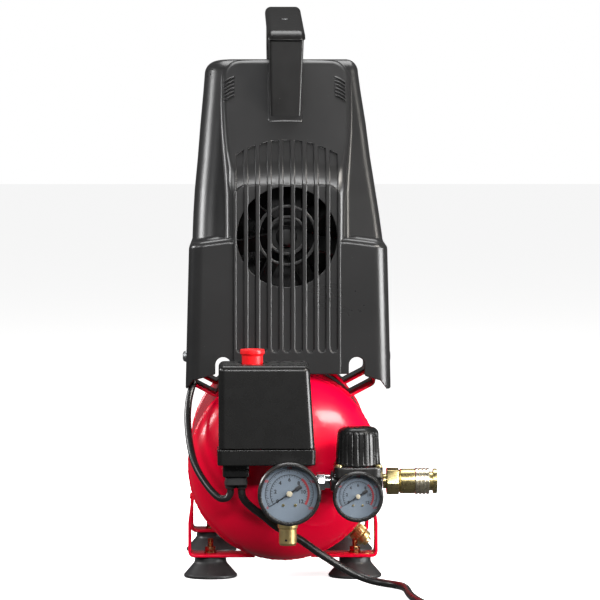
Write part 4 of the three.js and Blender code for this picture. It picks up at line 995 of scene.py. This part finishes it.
def gauge(key, cx, cz, bezel, back, depth, needle_body, outer_step, inner_step):
    can = bezel - 1.4
    face = back - depth
    dial_y = back - (depth - 7)
    lip = bezel - 3.2
    lathe(f"{key}_housing", "y",
          [(0, back), (6, back), (6, back - 4), (can - 2, back - 4), (can, back - 6), (can, face + 6.6),
           (bezel, face + 5.6), (bezel, face + 1.4), (bezel - 1.2, face), (lip + 0.5, face), (lip, face + 0.9),
           (lip, face + 1.6), (can - 1.6, face + 1.6), (can - 1.6, dial_y + 0.4), (0, dial_y + 0.4)],
          (cx, 0, cz), BLACK_METAL, replaces=(f"{key}_case",), round_by=0.45, sides=128)
    lathe(f"{key}_dial", "y", [(0, dial_y), (can - 1.65, dial_y), (can - 1.65, dial_y + 0.5), (0, dial_y + 0.5)],
          (cx, 0, cz), DIAL, round_by=0, sides=96)
    lathe(f"{key}_window", "y",
          [(0, face + 1.8), (can - 1.7, face + 1.8), (can - 1.7, face + 2.9), (0, face + 2.9)],
          (cx, 0, cz), LENS, replaces=(f"{key}_lens",), round_by=0.1, sides=96)
    k = can / 24.8
    low, sweep = 213.0, -247.0

    def at(share):
        return low + sweep * share

    y = dial_y
    black, red = [], []
    for i in range(61):
        long = i % 5 == 0
        a = at(i / 60)
        black.append(wedge(cx, cz, y, (17.4 if long else 18.4) * k, 19.8 * k, a - 0.6 / k, a + 0.6 / k))
    black.append(wedge(cx, cz, y, 19.7 * k, 20.1 * k, low, low + sweep, 60))
    black.append(wedge(cx, cz, y, 15.4 * k, 15.9 * k, low, at(0.66), 60))
    red.append(wedge(cx, cz, y, 15.0 * k, 16.8 * k, at(0.66), at(1.0), 40))
    for i in range(0, 61, 2):
        a = at(i / 60)
        black.append(wedge(cx, cz, y, 14.0 * k, 15.5 * k, a - 0.6 / k, a + 0.6 / k))
    for i in range(7):
        a = math.radians(at(i / 6))
        black.append(text_mesh(str(i * inner_step), 4.3 * k, cx + 11.6 * k * math.cos(a), y - 0.05,
                               cz + 11.6 * k * math.sin(a)))
    for i in range(5):
        a = math.radians(at(i / 4.0))
        red.append(text_mesh(str(i * outer_step), 2.9 * k, cx + 21.4 * k * math.cos(a), y - 0.05,
                             cz + 21.4 * k * math.sin(a)))
    for name, parts, ink in (("marks", black, INK), ("limits", red, RED_INK)):
        piece(f"{key}_{name}", mesh_of(f"{key}_{name}", *gather(parts), 20), ink)
    for hand, side in (("left", -1), ("right", 1)):
        lathe(f"{key}_dial_screw_{hand}", "y", [(0, y - 0.7), (1.0 * k, y - 0.6), (1.3 * k, y), (0, y)],
              (cx + side * 5.0 * k, 0, cz - 9.6 * k), BRASS, round_by=0.1, sides=24)
    aim = math.radians(low)
    along, across = (math.cos(aim), math.sin(aim)), (-math.sin(aim), math.cos(aim))
    shape = [(17.2, -0.15), (17.2, 0.15), (3, 0.6), (0, 0.9), (-5.5, 0.75), (-6.5, 1.6), (-11.2, 1.75), (-12, 0),
             (-11.2, -1.75), (-6.5, -1.6), (-5.5, -0.75), (0, -0.9), (3, -0.6)]
    outline = [(cx + k * (a * along[0] + b * across[0]), cz + k * (a * along[1] + b * across[1])) for a, b in shape]
    prism(f"{key}_pointer", "y", outline, dial_y - 1.7, dial_y - 1.1, INK, "needle_ink", needle_body,
          replaces=(f"{key}_needle",), bevel=0.08)
    lathe(f"{key}_needle_cap", "y",
          [(0, dial_y - 2.9), (1.5 * k, dial_y - 2.8), (2.4 * k, dial_y - 2.45), (2.5 * k, dial_y - 1.9),
           (0, dial_y - 1.9)],
          (cx, 0, cz), HUB, needle_body, round_by=0.1, sides=36)


gauge("tank_gauge", 3.6, 83.0, 26.2, -213.4, 23.0, "tank_needle", 50, 2)
gauge("outlet_gauge", 60.3, 80.5, 21.0, -212.4, 21.6, "outlet_needle", 50, 2)

# -------- drain valve

DRAIN_TURN = Matrix.Rotation(math.radians(134), 3, "Y")
DRAIN_AT = (0, -72, TANK_Z)
prism("drain_body", "z", hexagon(14.6), 79.6, 87.3, VALVE_BRASS, "brass", bevel=0.8, segments=3, matrix=DRAIN_TURN,
      at=DRAIN_AT, replaces=("drain_valve",))
lathe("drain_stem", "z",
      [(0, 86), (3.6, 86), (3.6, 95), (6.6, 95.2), (7.2, 96), (7.2, 99.4), (6.4, 100.2), (4.4, 100.4), (4.2, 103),
       (3.4, 103.6), (0, 103.6)], DRAIN_AT, VALVE_BRASS, matrix=DRAIN_TURN, sides=48)


def knurl(turn, radius, station):
    return radius - (0.4 if radius > 6 and math.cos(24 * turn) < -0.2 else 0)


lathe("drain_wheel", "z", [(3.9, 87.9), (7.2, 87.9), (7.8, 88.5), (7.8, 94), (7.2, 94.6), (3.9, 94.6), (3.9, 87.9)],
      DRAIN_AT, VALVE_BRASS, "drain_screw", replaces=("drain_knob",), matrix=DRAIN_TURN, sides=120,
      round_by=0.2, wave=knurl)

# -------- finishes of the inner nodes that stay

FINISHES = {
    STEEL: ("motor_base", "motor_shaft", "rotor_core", "front_bearing", "rear_bearing", "crank",
            "regulator_spindle"),
    ALUMINIUM: ("crankcase", "piston_and_rod", "pump_cylinder", "cylinder_head", "capacitor"),
    COPPER: ("discharge_tube",),
    BLACK_METAL: ("motor_housing", "motor_stator"),
    FAN_PLASTIC: ("cooling_fan", "air_filter"),
    BRASS: ("check_valve",),
}
for material, names in FINISHES.items():
    for name in names:
        mesh = NODES[name].data
        mesh.materials.clear()
        mesh.materials.append(material)

# -------- studio

floor_mesh = bpy.data.meshes.new("floor")
floor_mesh.from_pydata([(-30, -30, 0), (30, -30, 0), (30, 30, 0), (-30, 30, 0)], [], [(0, 1, 2, 3)])
floor = shown("floor", floor_mesh)
floor.location.z = -0.0002
ground = Look("studio_floor")
ground.link(ground.blend(ground.noise(3, 2), (0.93, 0.93, 0.93), (0.90, 0.90, 0.905)),
            ground.shader.inputs["Base Color"])
ground.set(Roughness=0.9, Specular_IOR_Level=0.1, Emission_Color=(1, 1, 1, 1), Emission_Strength=0.84)
floor_mesh.materials.append(ground.mat)
floor.visible_diffuse = False
floor.visible_glossy = False


def softbox(name, place, target, wide, high, power, colour=(1, 1, 1)):
    data = bpy.data.lights.new(name, "AREA")
    data.shape, data.size, data.size_y = "RECTANGLE", wide, high
    data.energy, data.color = power, colour
    made = shown(name, data)
    made.location = place
    made.rotation_mode = "QUATERNION"
    made.rotation_quaternion = (Vector(target) - Vector(place)).to_track_quat("-Z", "Y")


softbox("left_box", (-1.75, 0.1, 0.95), (0, 0, 0.4), 0.5, 0.55, 20)
softbox("left_front_box", (-2.0, -1.7, 1.5), (0, 0, 0.2), 0.9, 0.7, 22)
softbox("right_low_box", (1.5, -0.75, 0.22), (0, 0, 0.22), 0.9, 0.36, 28)
softbox("right_front_box", (1.45, -1.45, 1.45), (0, 0, 0.1), 1.1, 0.45, 52, (1, 0.95, 0.88))
softbox("top_box", (0.0, 0.4, 2.0), (0, 0.05, 0.2), 1.4, 1.0, 30)
softbox("front_strip", (0.2, -2.5, 1.22), (0, 0, 0.25), 1.4, 0.22, 38)

world = bpy.data.worlds.new("studio")
bpy.context.scene.world = world
world.use_nodes = True
tree = world.node_tree
background = tree.nodes["Background"]
background.inputs["Color"].default_value = (1, 1, 1, 1)
seen = tree.nodes.new("ShaderNodeLightPath")
level = tree.nodes.new("ShaderNodeMapRange")
level.inputs["To Min"].default_value = 0.085
level.inputs["To Max"].default_value = 1.0
tree.links.new(seen.outputs["Is Camera Ray"], level.inputs["Value"])
tree.links.new(level.outputs["Result"], background.inputs["Strength"])
bpy.context.scene.view_settings.view_transform = "Standard"
